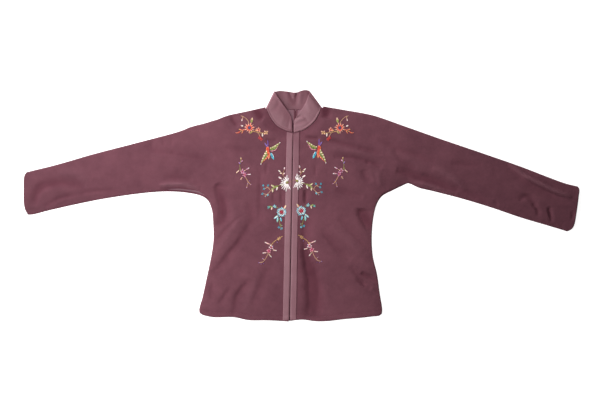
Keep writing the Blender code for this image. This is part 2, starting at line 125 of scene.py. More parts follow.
def heading(angle):
    return np.array([np.cos(angle), np.sin(angle)])


def turn_of(way):
    return np.arctan2(way[1], way[0])


def evenly(line, step):
    """The same line, cut at equal steps of about this length."""
    along = np.concatenate([[0.0], np.cumsum(np.linalg.norm(np.diff(line, axis=0), axis=1))])
    wanted = np.linspace(0.0, along[-1], max(1, round(along[-1] / step)) + 1)
    return np.column_stack([np.interp(wanted, along, column) for column in line.T])


def smooth_curve(knots, step):
    """A smooth curve through the knots, cut at equal steps."""
    knots = np.array(knots, float)
    if len(knots) < 3:
        return evenly(knots, step)
    rows = np.vstack([2 * knots[0] - knots[1], knots, 2 * knots[-1] - knots[-2]])
    at = np.concatenate([[0.0], np.cumsum(np.sqrt(np.linalg.norm(np.diff(rows, axis=0), axis=1)))])
    line = []
    for i in range(1, len(rows) - 2):
        (p0, p1, p2, p3), (t0, t1, t2, t3) = rows[i - 1 : i + 3], at[i - 1 : i + 3]
        t = np.linspace(t1, t2, CURVE_STEPS, endpoint=False)[:, None]
        a1 = (t1 - t) / (t1 - t0) * p0 + (t - t0) / (t1 - t0) * p1
        a2 = (t2 - t) / (t2 - t1) * p1 + (t - t1) / (t2 - t1) * p2
        a3 = (t3 - t) / (t3 - t2) * p2 + (t - t2) / (t3 - t2) * p3
        b1 = (t2 - t) / (t2 - t0) * a1 + (t - t0) / (t2 - t0) * a2
        b2 = (t3 - t) / (t3 - t1) * a2 + (t - t1) / (t3 - t1) * a3
        line.append((t2 - t) / (t2 - t1) * b1 + (t - t1) / (t2 - t1) * b2)
    return evenly(np.vstack(line + [knots[-1:]]), step)


def nearest(points, samples):
    """How far each point is from the nearest of the samples, and which one that is."""
    tree = KDTree(len(samples))
    for i, (x, y) in enumerate(samples):
        tree.insert((x, y, 0.0), i)
    tree.balance()
    found = [tree.find((x, y, 0.0)) for x, y in points]
    return np.array([each[2] for each in found]), np.array([each[1] for each in found])


def in_scene(name, data):
    """An object with this data, linked to the scene."""
    made = bpy.data.objects.new(name, data)
    bpy.context.scene.collection.objects.link(made)
    return made


def keep(mesh, name, values, kind="FLOAT", key="value"):
    """Stores a value at each vertex."""
    mesh.attributes.new(name, kind, "POINT").data.foreach_set(key, values)


def make_piece(name, vertices, faces, *materials, painted_shading=None):
    """A smooth mesh object from millimetres in the tables' coordinates, with its painted shading values."""
    vertices = np.array(vertices, float)
    vertices[:, :2] -= TABLE_ORIGIN
    mesh = bpy.data.meshes.new(name)
    mesh.from_pydata((vertices * MM).tolist(), [], np.asarray(faces).tolist())
    mesh.shade_smooth()
    for material in materials:
        mesh.materials.append(material)
    if painted_shading is not None:
        values = np.zeros(len(vertices))
        values[: len(painted_shading)] = np.clip(painted_shading, PAINTED_SHADING_LEAST, PAINTED_SHADING_MOST)
        keep(mesh, "painted_shading", values)
    return in_scene(name, mesh)


# %% [markdown]
# ## Finishes: what the cloths share
#
# The body is a matt crepe in plum, the collar and bands are a lighter satin, and the lining that shows
# inside the neck is paler still. All three are woven, so they share one node group. It gives the height of
# the threads for a bump, and soft blotches, because cloth that has been dyed and worn is never quite even.

# %%
# A node group for woven cloth
CRINKLE_SCALE, CRINKLE_HEIGHT = 420.0, 2.0
BLOTCHES = ((9.0, 0.6), (46.0, 0.4))
FLECK_SCALE = 210.0


def add_node(tree, kind, **settings):
    made = tree.nodes.new(kind)
    for key, value in settings.items():
        setattr(made, key, value)
    return made


def maths(tree, operation, *values):
    """A Math node: each value is a socket or a number. Returns its output."""
    made = add_node(tree, "ShaderNodeMath", operation=operation)
    for socket, value in zip(made.inputs, values):
        if isinstance(value, (int, float)):
            socket.default_value = value
        else:
            tree.links.new(value, socket)
    return made.outputs[0]


def noise_at(tree, vector, scale, detail=3.0):
    made = add_node(tree, "ShaderNodeTexNoise")
    made.inputs["Scale"].default_value = scale
    made.inputs["Detail"].default_value = detail
    tree.links.new(vector, made.inputs["Vector"])
    return made.outputs["Fac"]


def woven_group():
    tree = bpy.data.node_groups.new("Woven cloth", "ShaderNodeTree")
    tree.interface.new_socket(name="Vector", in_out="INPUT", socket_type="NodeSocketVector")
    for name in ("Across", "Along", "Crinkle"):
        tree.interface.new_socket(name=name, in_out="INPUT", socket_type="NodeSocketFloat")
    for name in ("Height", "Blotch", "Fleck"):
        tree.interface.new_socket(name=name, in_out="OUTPUT", socket_type="NodeSocketFloat")
    given = add_node(tree, "NodeGroupInput").outputs
    parts = add_node(tree, "ShaderNodeSeparateXYZ")
    tree.links.new(given["Vector"], parts.inputs[0])
    crinkle = noise_at(tree, given["Vector"], CRINKLE_SCALE, 2.0)
    waver = maths(tree, "MULTIPLY", crinkle, given["Crinkle"])
    threads = []
    for axis, spacing in (("X", "Across"), ("Y", "Along")):
        phase = maths(tree, "MULTIPLY", parts.outputs[axis], given[spacing])
        threads.append(maths(tree, "SINE", maths(tree, "ADD", phase, waver)))
    weave = maths(tree, "ADD", *threads)
    blotches = []
    for size, part in BLOTCHES:
        blotches.append(maths(tree, "MULTIPLY", noise_at(tree, given["Vector"], size, 4.0), part))
    results = {
        "Height": maths(tree, "ADD", weave, maths(tree, "MULTIPLY", crinkle, CRINKLE_HEIGHT)),
        "Blotch": maths(tree, "ADD", *blotches),
        "Fleck": noise_at(tree, given["Vector"], FLECK_SCALE),
    }
    end = add_node(tree, "NodeGroupOutput").inputs
    for name, socket in results.items():
        tree.links.new(socket, end[name])
    return tree


woven = woven_group()
print("woven cloth group:", len(woven.nodes), "nodes")

# %% [markdown]
# ## Finishes: the three cloths
#
# Each cloth puts its own values into the group. The two colours of a cloth are what it goes between over
# its blotches, and the ramp between them is narrow, because the eye sees even a small change on plain
# cloth. Satin has long floats on one side only, so its warp is much finer than its weft, and it shines
# more. A shell can carry a value named painted_shading, which paints light and shade into the colour. Below
# zero it paints shade, as in a crease, darker and a little stronger in colour, and above zero it paints a
# highlight, as on a ridge.

# %%
# Plum crepe, mauve satin and pale lining
# Painted shading: how much one unit of it changes a cloth's brightness and its saturation
PAINTED_SHADING_VALUE = 0.14
PAINTED_SHADING_SATURATION = 0.07
BLOTCH_LOW, BLOTCH_HIGH = 0.3, 0.7
FLECK_SHARE = 0.5
FLECK_ROUGHNESS = 0.16


def colour(red, green, blue):
    """A colour as a screen shows it, 0 to 255, made linear for the shader."""
    share = np.array([red, green, blue]) / 255
    linear = np.where(share <= 0.04045, share / 12.92, ((share + 0.055) / 1.055) ** 2.4)
    return (*linear.tolist(), 1.0)


def new_material(name, **finish):
    """A material, its node tree and its shader, with the finish set: Sheen_Weight=0.1 sets Sheen Weight."""
    material = bpy.data.materials.new(name)
    material.use_nodes = True
    shader = material.node_tree.nodes["Principled BSDF"]
    for socket, value in finish.items():
        shader.inputs[socket.replace("_", " ")].default_value = value
    return material, material.node_tree, shader


def bumped(tree, height, distance, shader):
    raised = add_node(tree, "ShaderNodeBump")
    raised.inputs["Distance"].default_value = distance
    tree.links.new(height, raised.inputs["Height"])
    tree.links.new(raised.outputs["Normal"], shader.inputs["Normal"])


def cloth(name, dark, light, across, along, crinkle, roughness, sheen, bump):
    material, tree, shader = new_material(
        name, Specular_IOR_Level=0.35, Sheen_Weight=sheen, Sheen_Roughness=0.45, Sheen_Tint=light
    )
    where = add_node(tree, "ShaderNodeTexCoord").outputs["Object"]
    weave = add_node(tree, "ShaderNodeGroup", node_tree=woven)
    tree.links.new(where, weave.inputs["Vector"])
    for socket, value in (("Across", across), ("Along", along), ("Crinkle", crinkle)):
        weave.inputs[socket].default_value = value
    shade = add_node(tree, "ShaderNodeMapRange")
    shade.inputs["From Min"].default_value = BLOTCH_LOW
    shade.inputs["From Max"].default_value = BLOTCH_HIGH
    tree.links.new(weave.outputs["Blotch"], shade.inputs["Value"])
    flecked = maths(tree, "MULTIPLY_ADD", weave.outputs["Fleck"], FLECK_SHARE, -FLECK_SHARE / 2)
    mixed = add_node(tree, "ShaderNodeMix", data_type="RGBA")
    mixed.inputs[6].default_value = dark
    mixed.inputs[7].default_value = light
    tree.links.new(maths(tree, "ADD", shade.outputs[0], flecked), mixed.inputs[0])
    # Painted light and shade: below zero the value darkens and saturates the base colour, above zero it
    # lightens it
    painted_shading = add_node(tree, "ShaderNodeAttribute", attribute_name="painted_shading")
    darker = add_node(tree, "ShaderNodeHueSaturation")
    for socket, amount in (("Value", PAINTED_SHADING_VALUE), ("Saturation", -PAINTED_SHADING_SATURATION)):
        tree.links.new(maths(tree, "MULTIPLY_ADD", painted_shading.outputs["Fac"], amount, 1.0), darker.inputs[socket])
    tree.links.new(mixed.outputs[2], darker.inputs["Color"])
    tree.links.new(darker.outputs[0], shader.inputs["Base Color"])
    smoothest = roughness - FLECK_ROUGHNESS / 2
    rough = maths(tree, "MULTIPLY_ADD", weave.outputs["Fleck"], FLECK_ROUGHNESS, smoothest)
    tree.links.new(rough, shader.inputs["Roughness"])
    bumped(tree, weave.outputs["Height"], bump, shader)
    return material


plum = cloth(
    "plum_crepe", colour(102, 58, 70), colour(123, 74, 86),
    across=6200, along=6200, crinkle=5.0, roughness=0.82, sheen=0.12, bump=0.00003,
)
satin = cloth(
    "mauve_satin", colour(140, 98, 107), colour(152, 109, 119),
    across=21000, along=9000, crinkle=1.0, roughness=0.46, sheen=0.06, bump=0.000008,
)
lining = cloth(
    "pale_lining", colour(135, 95, 107), colour(147, 107, 119),
    across=15000, along=9000, crinkle=1.5, roughness=0.5, sheen=0.05, bump=0.00001,
)
print("cloths:", plum.name, satin.name, lining.name)

# %% [markdown]
# ## The cut of a panel
#
# A panel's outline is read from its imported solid: it is the ring of edges with a face that looks up on one
# side and one that looks down on the other. Its short straight steps are then made smooth curves between
# its real corners, so the shell keeps the solid's shape and still looks cut with shears.

# %%
# Outlines
SIDES = {"right": 1, "left": -1}
FRONT_CLOSING = 1.2
BACK_CLOSING = 0.2
CORNER = np.radians(33)
SAMPLE_STEP = 0.3
HEM_ABOVE = -288.5
RIGHT_CUFF, LEFT_CUFF, LEFT_CUFF_TOP = -722, 704, 50.5
NECK_BELOW, NECK_SIDES = 188, (-97, 59)
MIDDLE_REACH, MIDDLE_ENDS = 8, (-302.5, 253)
Panel = namedtuple("Panel", "loop samples kinds")


def solid_edge(node):
    """The edge of a packed panel seen from above, as an anticlockwise ring of points."""
    mesh = bmesh.new()
    mesh.from_mesh(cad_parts[node].data)
    bmesh.ops.remove_doubles(mesh, verts=mesh.verts, dist=1e-6)
    mesh.normal_update()
    after = {}
    for edge in mesh.edges:
        looks_up = [face.normal.z > 0 for face in edge.link_faces]
        if sorted(looks_up) == [False, True]:
            for corner in edge.link_faces[looks_up.index(True)].loops:
                if corner.edge == edge:
                    after[corner.vert.index] = corner.link_loop_next.vert.index
    mesh.verts.ensure_lookup_table()
    rings = []
    while after:
        ring = [next(iter(after))]
        while ring[-1] in after:
            ring.append(after.pop(ring[-1]))
        rings.append(ring[:-1])
    points = np.array([mesh.verts[i].co[:2] for i in max(rings, key=len)]) / MM
    mesh.free()
    return points + TABLE_ORIGIN


def edge_kinds(points):
    """Whether each point of an outline is at the middle, at the neck, at an open end or on a seam."""
    x, y = points.T
    kinds = np.full(len(points), "seam", dtype="<U6")
    kinds[(y < HEM_ABOVE) | (x < RIGHT_CUFF) | ((x > LEFT_CUFF) & (y < LEFT_CUFF_TOP))] = "open"
    kinds[(y > NECK_BELOW) & (x > NECK_SIDES[0]) & (x < NECK_SIDES[1])] = "neck"
    at_middle = np.abs(x - middle_x(y)) < MIDDLE_REACH
    kinds[at_middle & (y > MIDDLE_ENDS[0]) & (y < MIDDLE_ENDS[1])] = "middle"
    return kinds


def panel_of(node, step, closing):
    """The cut of one panel. Its edge at the middle is moved by the closing, towards the other panel."""
    ring = solid_edge(node)
    ways = np.roll(ring, -1, axis=0) - ring
    angles = np.arctan2(ways[:, 1], ways[:, 0])
    turns = np.abs((angles - np.roll(angles, 1) + np.pi) % (2 * np.pi) - np.pi)
    corners = np.flatnonzero(turns > CORNER)
    stretches = []
    for first, last in zip(corners, np.append(corners[1:], corners[0] + len(ring))):
        stretch = ring[np.arange(first, last + 1) % len(ring)]
        stretches.append(smooth_curve(stretch, step)[:-1])
    loop = np.vstack(stretches)
    loop[edge_kinds(loop) == "middle"] += closing
    samples = evenly(np.vstack([loop, loop[:1]]), SAMPLE_STEP)
    return Panel(loop, samples, edge_kinds(samples))


fronts, backs = {}, {}
for side, way in SIDES.items():
    fronts[side] = panel_of("front_" + side, FRONT_STEP, (way * FRONT_CLOSING, 0))
    backs[side] = panel_of("back_" + side, BACK_STEP / 2, (way * BACK_CLOSING, 0))
    print(side, "front:", len(fronts[side].loop), "points, at", ", ".join(np.unique(fronts[side].kinds)))

# %% [markdown]
# ## Meshing a panel
#
# A sheet that has to bend evenly needs triangles of one size. A triangular lattice fills the panel, and
# rings close to the edge carry its rounding. A Delaunay triangulation joins them. It is the usual way to
# mesh an outline of any shape, and it keeps the triangles as close to equal-sided as it can.

# %%
# Rings, lattice and triangles
LEAST_LEAN = 0.6
LATTICE_CLEAR = 0.55
RING_CLEAR = 0.8
ON_EDGE = 0.6


def inset(loop, amount):
    """The closed loop, which runs anticlockwise, drawn in by this amount."""
    inward = []
    for way in (loop - np.roll(loop, 1, axis=0), np.roll(loop, -1, axis=0) - loop):
        way = way / np.linalg.norm(way, axis=1)[:, None]
        inward.append(np.column_stack([-way[:, 1], way[:, 0]]))
    middle = inward[0] + inward[1]
    middle /= np.linalg.norm(middle, axis=1)[:, None]
    lean = np.maximum((middle * inward[0]).sum(axis=1), LEAST_LEAN)
    return loop + middle * (amount / lean)[:, None]


def inside(loop, points):
    result = np.zeros(len(points), bool)
    for (ax, ay), (bx, by) in zip(loop, np.roll(loop, -1, axis=0)):
        if ay != by:
            crosses = (ay > points[:, 1]) != (by > points[:, 1])
            result ^= crosses & (points[:, 0] < (bx - ax) * (points[:, 1] - ay) / (by - ay) + ax)
    return result


def triangulated(panel, insets, step, extra=()):
    """Points and triangles over a panel, seen from above, with any extra points."""
    low, high = panel.loop.min(axis=0), panel.loop.max(axis=0)
    row_step = step * np.sqrt(0.75)
    j, i = np.mgrid[0 : int((high[1] - low[1]) / row_step) + 1, 0 : int((high[0] - low[0]) / step) + 2]
    lattice = np.column_stack([(low[0] + (i + j % 2 / 2) * step).ravel(), (low[1] + j * row_step).ravel()])
    lattice = lattice[inside(panel.loop, lattice)]
    lattice = lattice[nearest(lattice, panel.samples)[0] > insets[-1] + step * LATTICE_CLEAR]
    rings = []
    for amount in insets:
        ring = inset(panel.loop, amount)
        rings.append(ring[nearest(ring, panel.samples)[0] > amount * RING_CLEAR])
    plan = [Vector(point) for point in np.vstack([panel.loop, *rings, lattice, *extra])]
    points, _, triangles, _, _, _ = delaunay_2d_cdt(plan, [], [list(range(len(panel.loop)))], 1, 1e-6)
    return np.array([point[:] for point in points]), np.array(triangles)


def wall_between(points, triangles, top, bottom):
    """A closed wall between two faces, which meet along the panel's edge."""
    sides = np.sort(np.vstack([triangles[:, [0, 1]], triangles[:, [1, 2]], triangles[:, [2, 0]]]), axis=1)
    sides, uses = np.unique(sides, axis=0, return_counts=True)
    on_edge = np.zeros(len(points), bool)
    on_edge[sides[uses == 1]] = True
    top, bottom = top.copy(), bottom.copy()
    top[on_edge] = (top[on_edge] + bottom[on_edge]) / 2
    below = np.arange(len(points))
    below[~on_edge] = len(points) + np.arange((~on_edge).sum())
    upper, lower = np.column_stack([points, top]), np.column_stack([points, bottom])[~on_edge]
    return np.vstack([upper, lower]), np.vstack([triangles, below[triangles][:, ::-1]])


def distances(panel, points):
    """How far each point is from each kind of edge, and from any edge."""
    kinds = ("seam", "open", "neck", "middle")
    far = {kind: nearest(points, panel.samples[panel.kinds == kind]) for kind in kinds}
    away = np.min([each[0] for each in far.values()], axis=0)
    return far, np.where(away < SAMPLE_STEP * ON_EDGE, 0.0, away)


# %% [markdown]
# ## Creases
#
# The creases of a laid jacket run from where the cloth is held: the armpits, the collar and the waist. Each
# one is a row of a table: where it starts, bends and ends, how wide it is, and its height, which is below zero
# for a trough. It fades at both ends and is steeper on one side, as a real crease is.
# Its line wanders by a few millimetres with noise, whose seed is fixed so that each run makes the same
# jacket.

# %%
# The creases of the fronts: start, bend, end, width and height
CREASES = (
    (-127, 257, -118, 241, -105, 225, 8, -15.0),
    (-100, 224, -84, 206, -60, 195, 7, -1.6),
    (-186, 240, -180, 222, -166, 208, 5, -5.0),
    (-200, 158, -170, 146, -138, 140, 8, -1.6),
    (-112, 104, -108, 40, -112, -44, 9, -1.8),
    (-142, 10, -132, -20, -128, -50, 12, -2.0),
    (-49, 42, -51, 22, -51, 0, 5, -2.0),
    (-72, 36, -74, 20, -75, 6, 5, -1.5),
    (-128, -38, -180, -112, -240, -186, 10, -3.0),
    (-152, -26, -204, -94, -240, -148, 13, 2.0),
    (-152, -26, -190, -52, -226, -90, 5, -1.6),
    (-228, 54, -208, -4, -222, -56, 12, -7.5),
    (-228, 52, -212, 52, -190, 44, 5, -2.0),
    (-186, 10, -176, -30, -190, -66, 14, 1.2),
    (-134, -194, -166, -234, -180, -290, 9, -2.8),
    (-112, -190, -136, -236, -150, -286, 12, 1.3),
    (-88, -160, -106, -206, -130, -262, 11, -1.6),
    (-186, -216, -202, -238, -220, -262, 7, -1.8),
    (-232, -200, -240, -226, -238, -250, 8, -1.6),
    (-92, 112, -94, 96, -92, 82, 4, -1.6),
    (9, 42, 9, 24, 10, 4, 6, -4.5),
    (14, -16, 9, -100, 24, -190, 14, -4.6),
    (12, -110, 22, -214, 20, -303, 17, -6.4),
    (28, -150, 40, -220, 38, -303, 15, -4.6),
    (56, -60, 84, -104, 130, -146, 10, -2.2),
    (80, -46, 118, -88, 164, -122, 12, 1.5),
    (100, -28, 142, -80, 186, -118, 10, -1.6),
    (128, -160, 160, -198, 184, -220, 9, -2.4),
    (158, -179, 180, -192, 206, -203, 6, -5.4),
    (140, -196, 156, -204, 170, -214, 5, -2.0),
    (160, -8, 166, -34, 190, -60, 15, -9.0),
    (36, 108, 38, 94, 36, 80, 4, -1.6),
    (8, 182, 28, 177, 48, 177, 4, -4.5),
    (-92, 176, -78, 169, -62, 173, 5, -2.6),
    (51, 268, 61, 250, 60, 230, 9, -15.0),
    (58, 172, 110, 164, 162, 149, 6, -3.6),
    (150, 152, 176, 146, 214, 137, 6, -3.0),
    (70, 150, 130, 144, 190, 128, 8, 1.8),
    (86, 128, 140, 124, 182, 111, 6, -3.6),
    (170, 114, 192, 110, 214, 100, 6, -3.4),
    (88, 42, 120, 34, 162, 20, 10, -2.2),
    (162, 94, 166, 78, 178, 58, 9, -2.0),
    (178, 92, 188, 76, 192, 60, 11, 1.0),
    (200, 96, 206, 74, 212, 52, 9, 1.8),
    (240, 146, 272, 113, 304, 98, 8, -2.4),
    (200, 174, 290, 136, 356, 116, 8, -2.2),
    (226, 150, 262, 124, 330, 100, 10, 1.6),
    (250, 90, 334, 67, 414, 36, 11, -6.5),
    (346, 98, 392, 78, 434, 38, 9, 3.0),
    (296, 62, 352, 47, 416, 25, 5, 4.5),
    (400, 50, 446, 30, 490, 10, 9, -2.6),
    (396, 114, 436, 108, 480, 104, 8, -1.6),
    (508, 14, 514, 6, 520, 0, 4, -1.6),
    (548, 106, 632, 55, 712, 18, 5, 7.0),
    (545, 96, 622, 46, 706, 4, 14, -1.6),
    (575, 12, 600, 22, 620, -4, 8, -3.0),
    (612, 4, 624, -10, 626, -28, 5, -2.6),
    (650, -6, 657, -23, 664, -44, 5, -4.0),
    (716, -14, 717, -26, 714, -38, 5, -2.0),
    (-698, 2, -674, 54, -570, 48, 11, -6.0),
    (-648, 88, -600, 84, -560, 70, 12, 2.0),
    (-680, -2, -634, 20, -594, 27, 7, -3.0),
    (-600, 27, -540, 38, -478, 34, 7, -2.2),
    (-408, 162, -388, 142, -330, 140, 8, -2.0),
    (-345, 142, -292, 128, -232, 116, 9, -2.2),
    (-397, 172, -396, 160, -392, 150, 4, -1.4),
    (-367, 178, -366, 166, -364, 156, 4, -1.2),
    (-344, 182, -343, 170, -342, 160, 4, -1.2),
    (-362, 73, -325, 74, -288, 67, 9, -2.0),
    (-376, 50, -325, 56, -272, 44, 5, 9.0),
    (-346, 35, -290, 33, -248, 12, 5, -12.0),
)
CREASE_PIECES = 14
CREASE_SKEW = 0.25
CREASE_WANDER, WANDER_SIZE = 3.5, 45
CREASE_TAIL = 3.5
CREASE_SEED = 5
noise.seed_set(CREASE_SEED)


def crease_height(points, table):
    """What the creases of a table add to the height of the cloth at each point."""
    total = np.zeros(len(points))
    t = np.linspace(0.0, 1.0, CREASE_PIECES + 1)[:, None]
    wander = [noise.noise_vector(Vector((x / WANDER_SIZE, y / WANDER_SIZE, 0))) for x, y in points]
    points = points + [(CREASE_WANDER * way)[:2] for way in wander]
    for *places, width, height in table:
        start, middle, end = np.array(places, float).reshape(3, 2)
        bend = 2 * middle - (start + end) / 2
        line = (1 - t) ** 2 * start + 2 * t * (1 - t) * bend + t**2 * end
        reach = CREASE_TAIL * width
        near = ((points > line.min(axis=0) - reach) & (points < line.max(axis=0) + reach)).all(axis=1)
        run = np.diff(line, axis=0)
        apart = points[near][:, None, :] - line[None, :-1]
        along = np.clip((apart * run[None]).sum(axis=2) / (run**2).sum(axis=1), 0.0, 1.0)
        gap = apart - along[..., None] * run[None]
        far = np.hypot(gap[..., 0], gap[..., 1])
        piece = far.argmin(axis=1)
        rows = np.arange(len(piece))
        side = np.sign(run[piece, 0] * gap[rows, piece, 1] - run[piece, 1] * gap[rows, piece, 0])
        share = (piece + along[rows, piece]) / CREASE_PIECES
        fade = np.sqrt(np.maximum(np.sin(np.pi * share), 0.0))
        width = width * (1 + CREASE_SKEW * side)
        total[near] += height * fade * np.exp(-((far[rows, piece] / width) ** 2))
    return total


print(len(CREASES), "creases on the fronts")

# %% [markdown]
# ## The fronts
#
# The front lies on the back and is sewn to it at the shoulders, under the arms and down the sides, so it
# rises from every seam. Its hem is turned up and stitched, which makes the cloth thicker there. Along the
# seams the cloth draws into small puckers where the thread holds it. Low noise keeps the rest from looking
# pressed.

# %%
# Heights of the fronts
LIFT_MOST = 12.0
LIFT_CALM = 6.5
LIFT_AT_NECK = 0.5
LIFT_SOFTNESS = 0.5
SWELL_REACH = 32.0
CREASE_REACH = 5.0
# Crease height in mm that gives one unit of painted shade
CREASE_PER_PAINTED_SHADE = 4.5
SEAM_REACH = 4.0
NECK_REACH = 13.0
PUCKER_REACH, PUCKER_HEIGHT = 9.0, 0.9
PUCKER_ALONG, PUCKER_ACROSS = 8.0, 14.0
HEM_ONLY = -200
HEM_RISE, HEM_SLOPE = 0.35, 1.2
GROOVE_DEPTH, GROOVE_PLACE, GROOVE_WIDTH = 0.45, HEM_DEPTH + 0.6, 1.6
# Painted shade in the hem's groove and on the cloth beside the collar
GROOVE_PAINTED_SHADE, NECK_PAINTED_SHADE = 0.5, 0.6
RIPPLES = ((80.0, 0.9), (32.0, 0.5), (13.0, 0.16))


def rippled(points):
    """Low, uneven waves."""
    total = np.zeros(len(points))
    for size, height in RIPPLES:
        total += [height * noise.noise(Vector((x / size, y / size, size))) for x, y in points]
    return total


def soft_limit(height, most):
    """The height, kept between nothing and the most with soft turns."""
    above = 0.5 * (height + np.sqrt(height**2 + LIFT_SOFTNESS))
    room = most - above
    return most - 0.5 * (room + np.sqrt(room**2 + LIFT_SOFTNESS))


def rounded(panel, points, away, seam):
    """Half the wall's thickness at each point, and how far it leans to the seam beside it."""
    left = np.clip(1.0 - away / EDGE_ROUNDING, 0.0, 1.0)
    lean = (seam <= away + 0.01) * left**2 * (WALL / 2 - SEAM_LIP)
    return WALL / 2 * np.sqrt(1.0 - left**2), lean


def front_shell(panel):
    points, triangles = triangulated(panel, FRONT_INSETS, FRONT_STEP)
    far, away = distances(panel, points)
    (seam, at_seam), (hem, _), (neck, _) = far["seam"], far["open"], far["neck"]
    creases = crease_height(points, CREASES)
    wave = LIFT_CALM * (1 - np.exp(-seam / SWELL_REACH)) + rippled(points)
    wave += creases * (1 - np.exp(-seam / CREASE_REACH))
    along = at_seam * SAMPLE_STEP
    pucker = [noise.noise(Vector((s / PUCKER_ALONG, d / PUCKER_ACROSS, 0.5))) for s, d in zip(along, seam)]
    wave += PUCKER_HEIGHT * np.array(pucker) * np.exp(-seam / PUCKER_REACH)
    collar_side = np.exp(-((neck / NECK_REACH) ** 2))
    lift = soft_limit(wave, LIFT_MOST) * (1 - collar_side) + LIFT_AT_NECK * collar_side
    lift *= 1 - np.exp(-seam / SEAM_REACH)
    at_hem = points[:, 1] < HEM_ONLY
    turned_up = at_hem * (0.5 - 0.5 * np.tanh((hem - HEM_DEPTH) / HEM_SLOPE))
    groove = at_hem * np.exp(-(((hem - GROOVE_PLACE) / GROOVE_WIDTH) ** 2))
    half, lean = rounded(panel, points, away, seam)
    middle = WALL + GAP + lift + WALL / 2 - lean
    top = middle + half + HEM_RISE * turned_up - GROOVE_DEPTH * groove
    bottom = np.maximum(middle - half, WALL + GAP)
    # Painted light and shade: troughs are painted darker and ridges lighter, and the hem's groove and the
    # cloth beside the collar are painted darker
    painted_light = creases / CREASE_PER_PAINTED_SHADE - groove * GROOVE_PAINTED_SHADE - collar_side * NECK_PAINTED_SHADE
    return *wall_between(points, triangles, top, bottom), painted_light


pieces = {}
for side, panel in fronts.items():
    name = "front_" + side + "_cloth"
    vertices, faces, painted_shading = front_shell(panel)
    pieces["front_" + side] = make_piece(name, vertices, faces, plum, painted_shading=painted_shading)
    print(name, len(pieces["front_" + side].data.polygons), "triangles")

# %% [markdown]
# ## The backs
#
# The backs lie flat on the table. Only three parts of them show: the lining inside the neck, a strip under
# each arm where the front's edge has rolled in, and the edges. So their mesh is coarser. The inner face is
# lined, apart from a margin of plum at every edge, 1 mm at the neck and 5 mm elsewhere, so a plum strip
# 10 mm wide runs down the centre back inside the neck.

# %%
# Shells of the backs
LINING_MARGIN = 5.0
NECK_MARGIN = 1.0
NECK_WINDOW = 200.0


def back_shell(panel, way):
    in_window = panel.samples[(panel.kinds == "middle") & (panel.samples[:, 1] > NECK_WINDOW)][::6]
    beside = in_window - np.array([way * LINING_MARGIN, 0.0])
    points, triangles = triangulated(panel, BACK_INSETS, BACK_STEP, [beside[inside(panel.loop, beside)]])
    far, away = distances(panel, points)
    half, lean = rounded(panel, points, away, far["seam"][0])
    middle = WALL / 2 + lean
    top = np.minimum(middle + half, WALL)
    bottom = np.maximum(middle - half, 0.0)
    vertices, faces = wall_between(points, triangles, top, bottom)
    lined = np.zeros(len(faces), int)
    margin = np.where(far["neck"][0] <= away, NECK_MARGIN, LINING_MARGIN) - 0.1
    covered = (away > margin) & (far["middle"][0] > LINING_MARGIN - 0.1)
    lined[: len(triangles)] = covered[triangles].all(axis=1)
    return vertices, faces, lined


for side, panel in backs.items():
    vertices, faces, lined = back_shell(panel, SIDES[side])
    piece = make_piece("back_" + side + "_cloth", vertices, faces, plum, lining)
    piece.data.polygons.foreach_set("material_index", lined.astype(np.int32))
    pieces["back_" + side] = piece
    print(piece.name, len(faces), "triangles,", int(lined.sum()), "of them lining")

# %% [markdown]
# ## The collar
#
# The stand collar is one strip of satin, stiffened and folded flat at both sides of the neck. A row of the
# table is one cross-section: the place of its seam and of its upper edge, and how high each lies. The rows
# run from the right front, round the back, to the left front. Rows between them are found on a smooth
# curve.

# %%
# The collar's sections: seam x and y, upper edge x and y, seam height and upper height
COLLAR_RIGHT = (
    (-23.6, 193.4, -23.8, 223.0, 6.2, 7.6),
    (-34.0, 196.0, -29.2, 240.0, 6.2, 9.0),
    (-48.0, 201.0, -40.6, 257.0, 6.2, 10.5),
    (-66.0, 212.4, -53.6, 274.6, 6.2, 11.5),
    (-81.6, 233.2, -63.8, 289.6, 6.3, 11.0),
    (-91.4, 254.4, -69.0, 297.6, 6.5, 9.0),
)
COLLAR_BACK = (
    (-90.4, 258.8, -68.4, 302.2, 1.3, 2.0),
    (-72.0, 257.4, -56.0, 304.0, 1.3, 2.6),
    (-46.0, 255.2, -36.0, 302.0, 1.3, 3.4),
    (-15.0, 254.2, -16.0, 299.2, 1.3, 4.0),
    (10.0, 255.8, -3.0, 303.2, 1.3, 4.5),
    (34.0, 258.4, 8.4, 306.2, 1.3, 3.4),
    (51.6, 260.8, 19.0, 305.0, 1.3, 2.0),
)
COLLAR_LEFT = (
    (52.4, 256.6, 21.0, 298.0, 6.8, 8.6),
    (43.8, 236.4, 10.6, 270.8, 6.4, 9.2),
    (30.6, 217.8, -2.0, 251.0, 6.3, 9.0),
    (10.0, 202.2, -12.8, 235.0, 6.2, 8.6),
    (-8.0, 195.6, -18.4, 226.0, 6.2, 7.6),
    (-20.0, 193.2, -19.8, 214.0, 6.2, 7.0),
)
TURN_ROWS = 7
ROLL_DROP = np.array([3.0, 5.0])
ROLL_REACH = 8.0
ROWS_BETWEEN = 8
NEAR_SEAM = (0, 0.008, 0.025, 0.05, 0.075, 0.1, 0.14, 0.2)
COLLAR_SHARES = (*NEAR_SEAM, 0.3, 0.4, 0.5, 0.6, 0.7, 0.8, 0.88, 0.94, 0.97, 0.99, 1)
END_ROWS = (0, 0.02, 0.06, 0.12, 0.2)


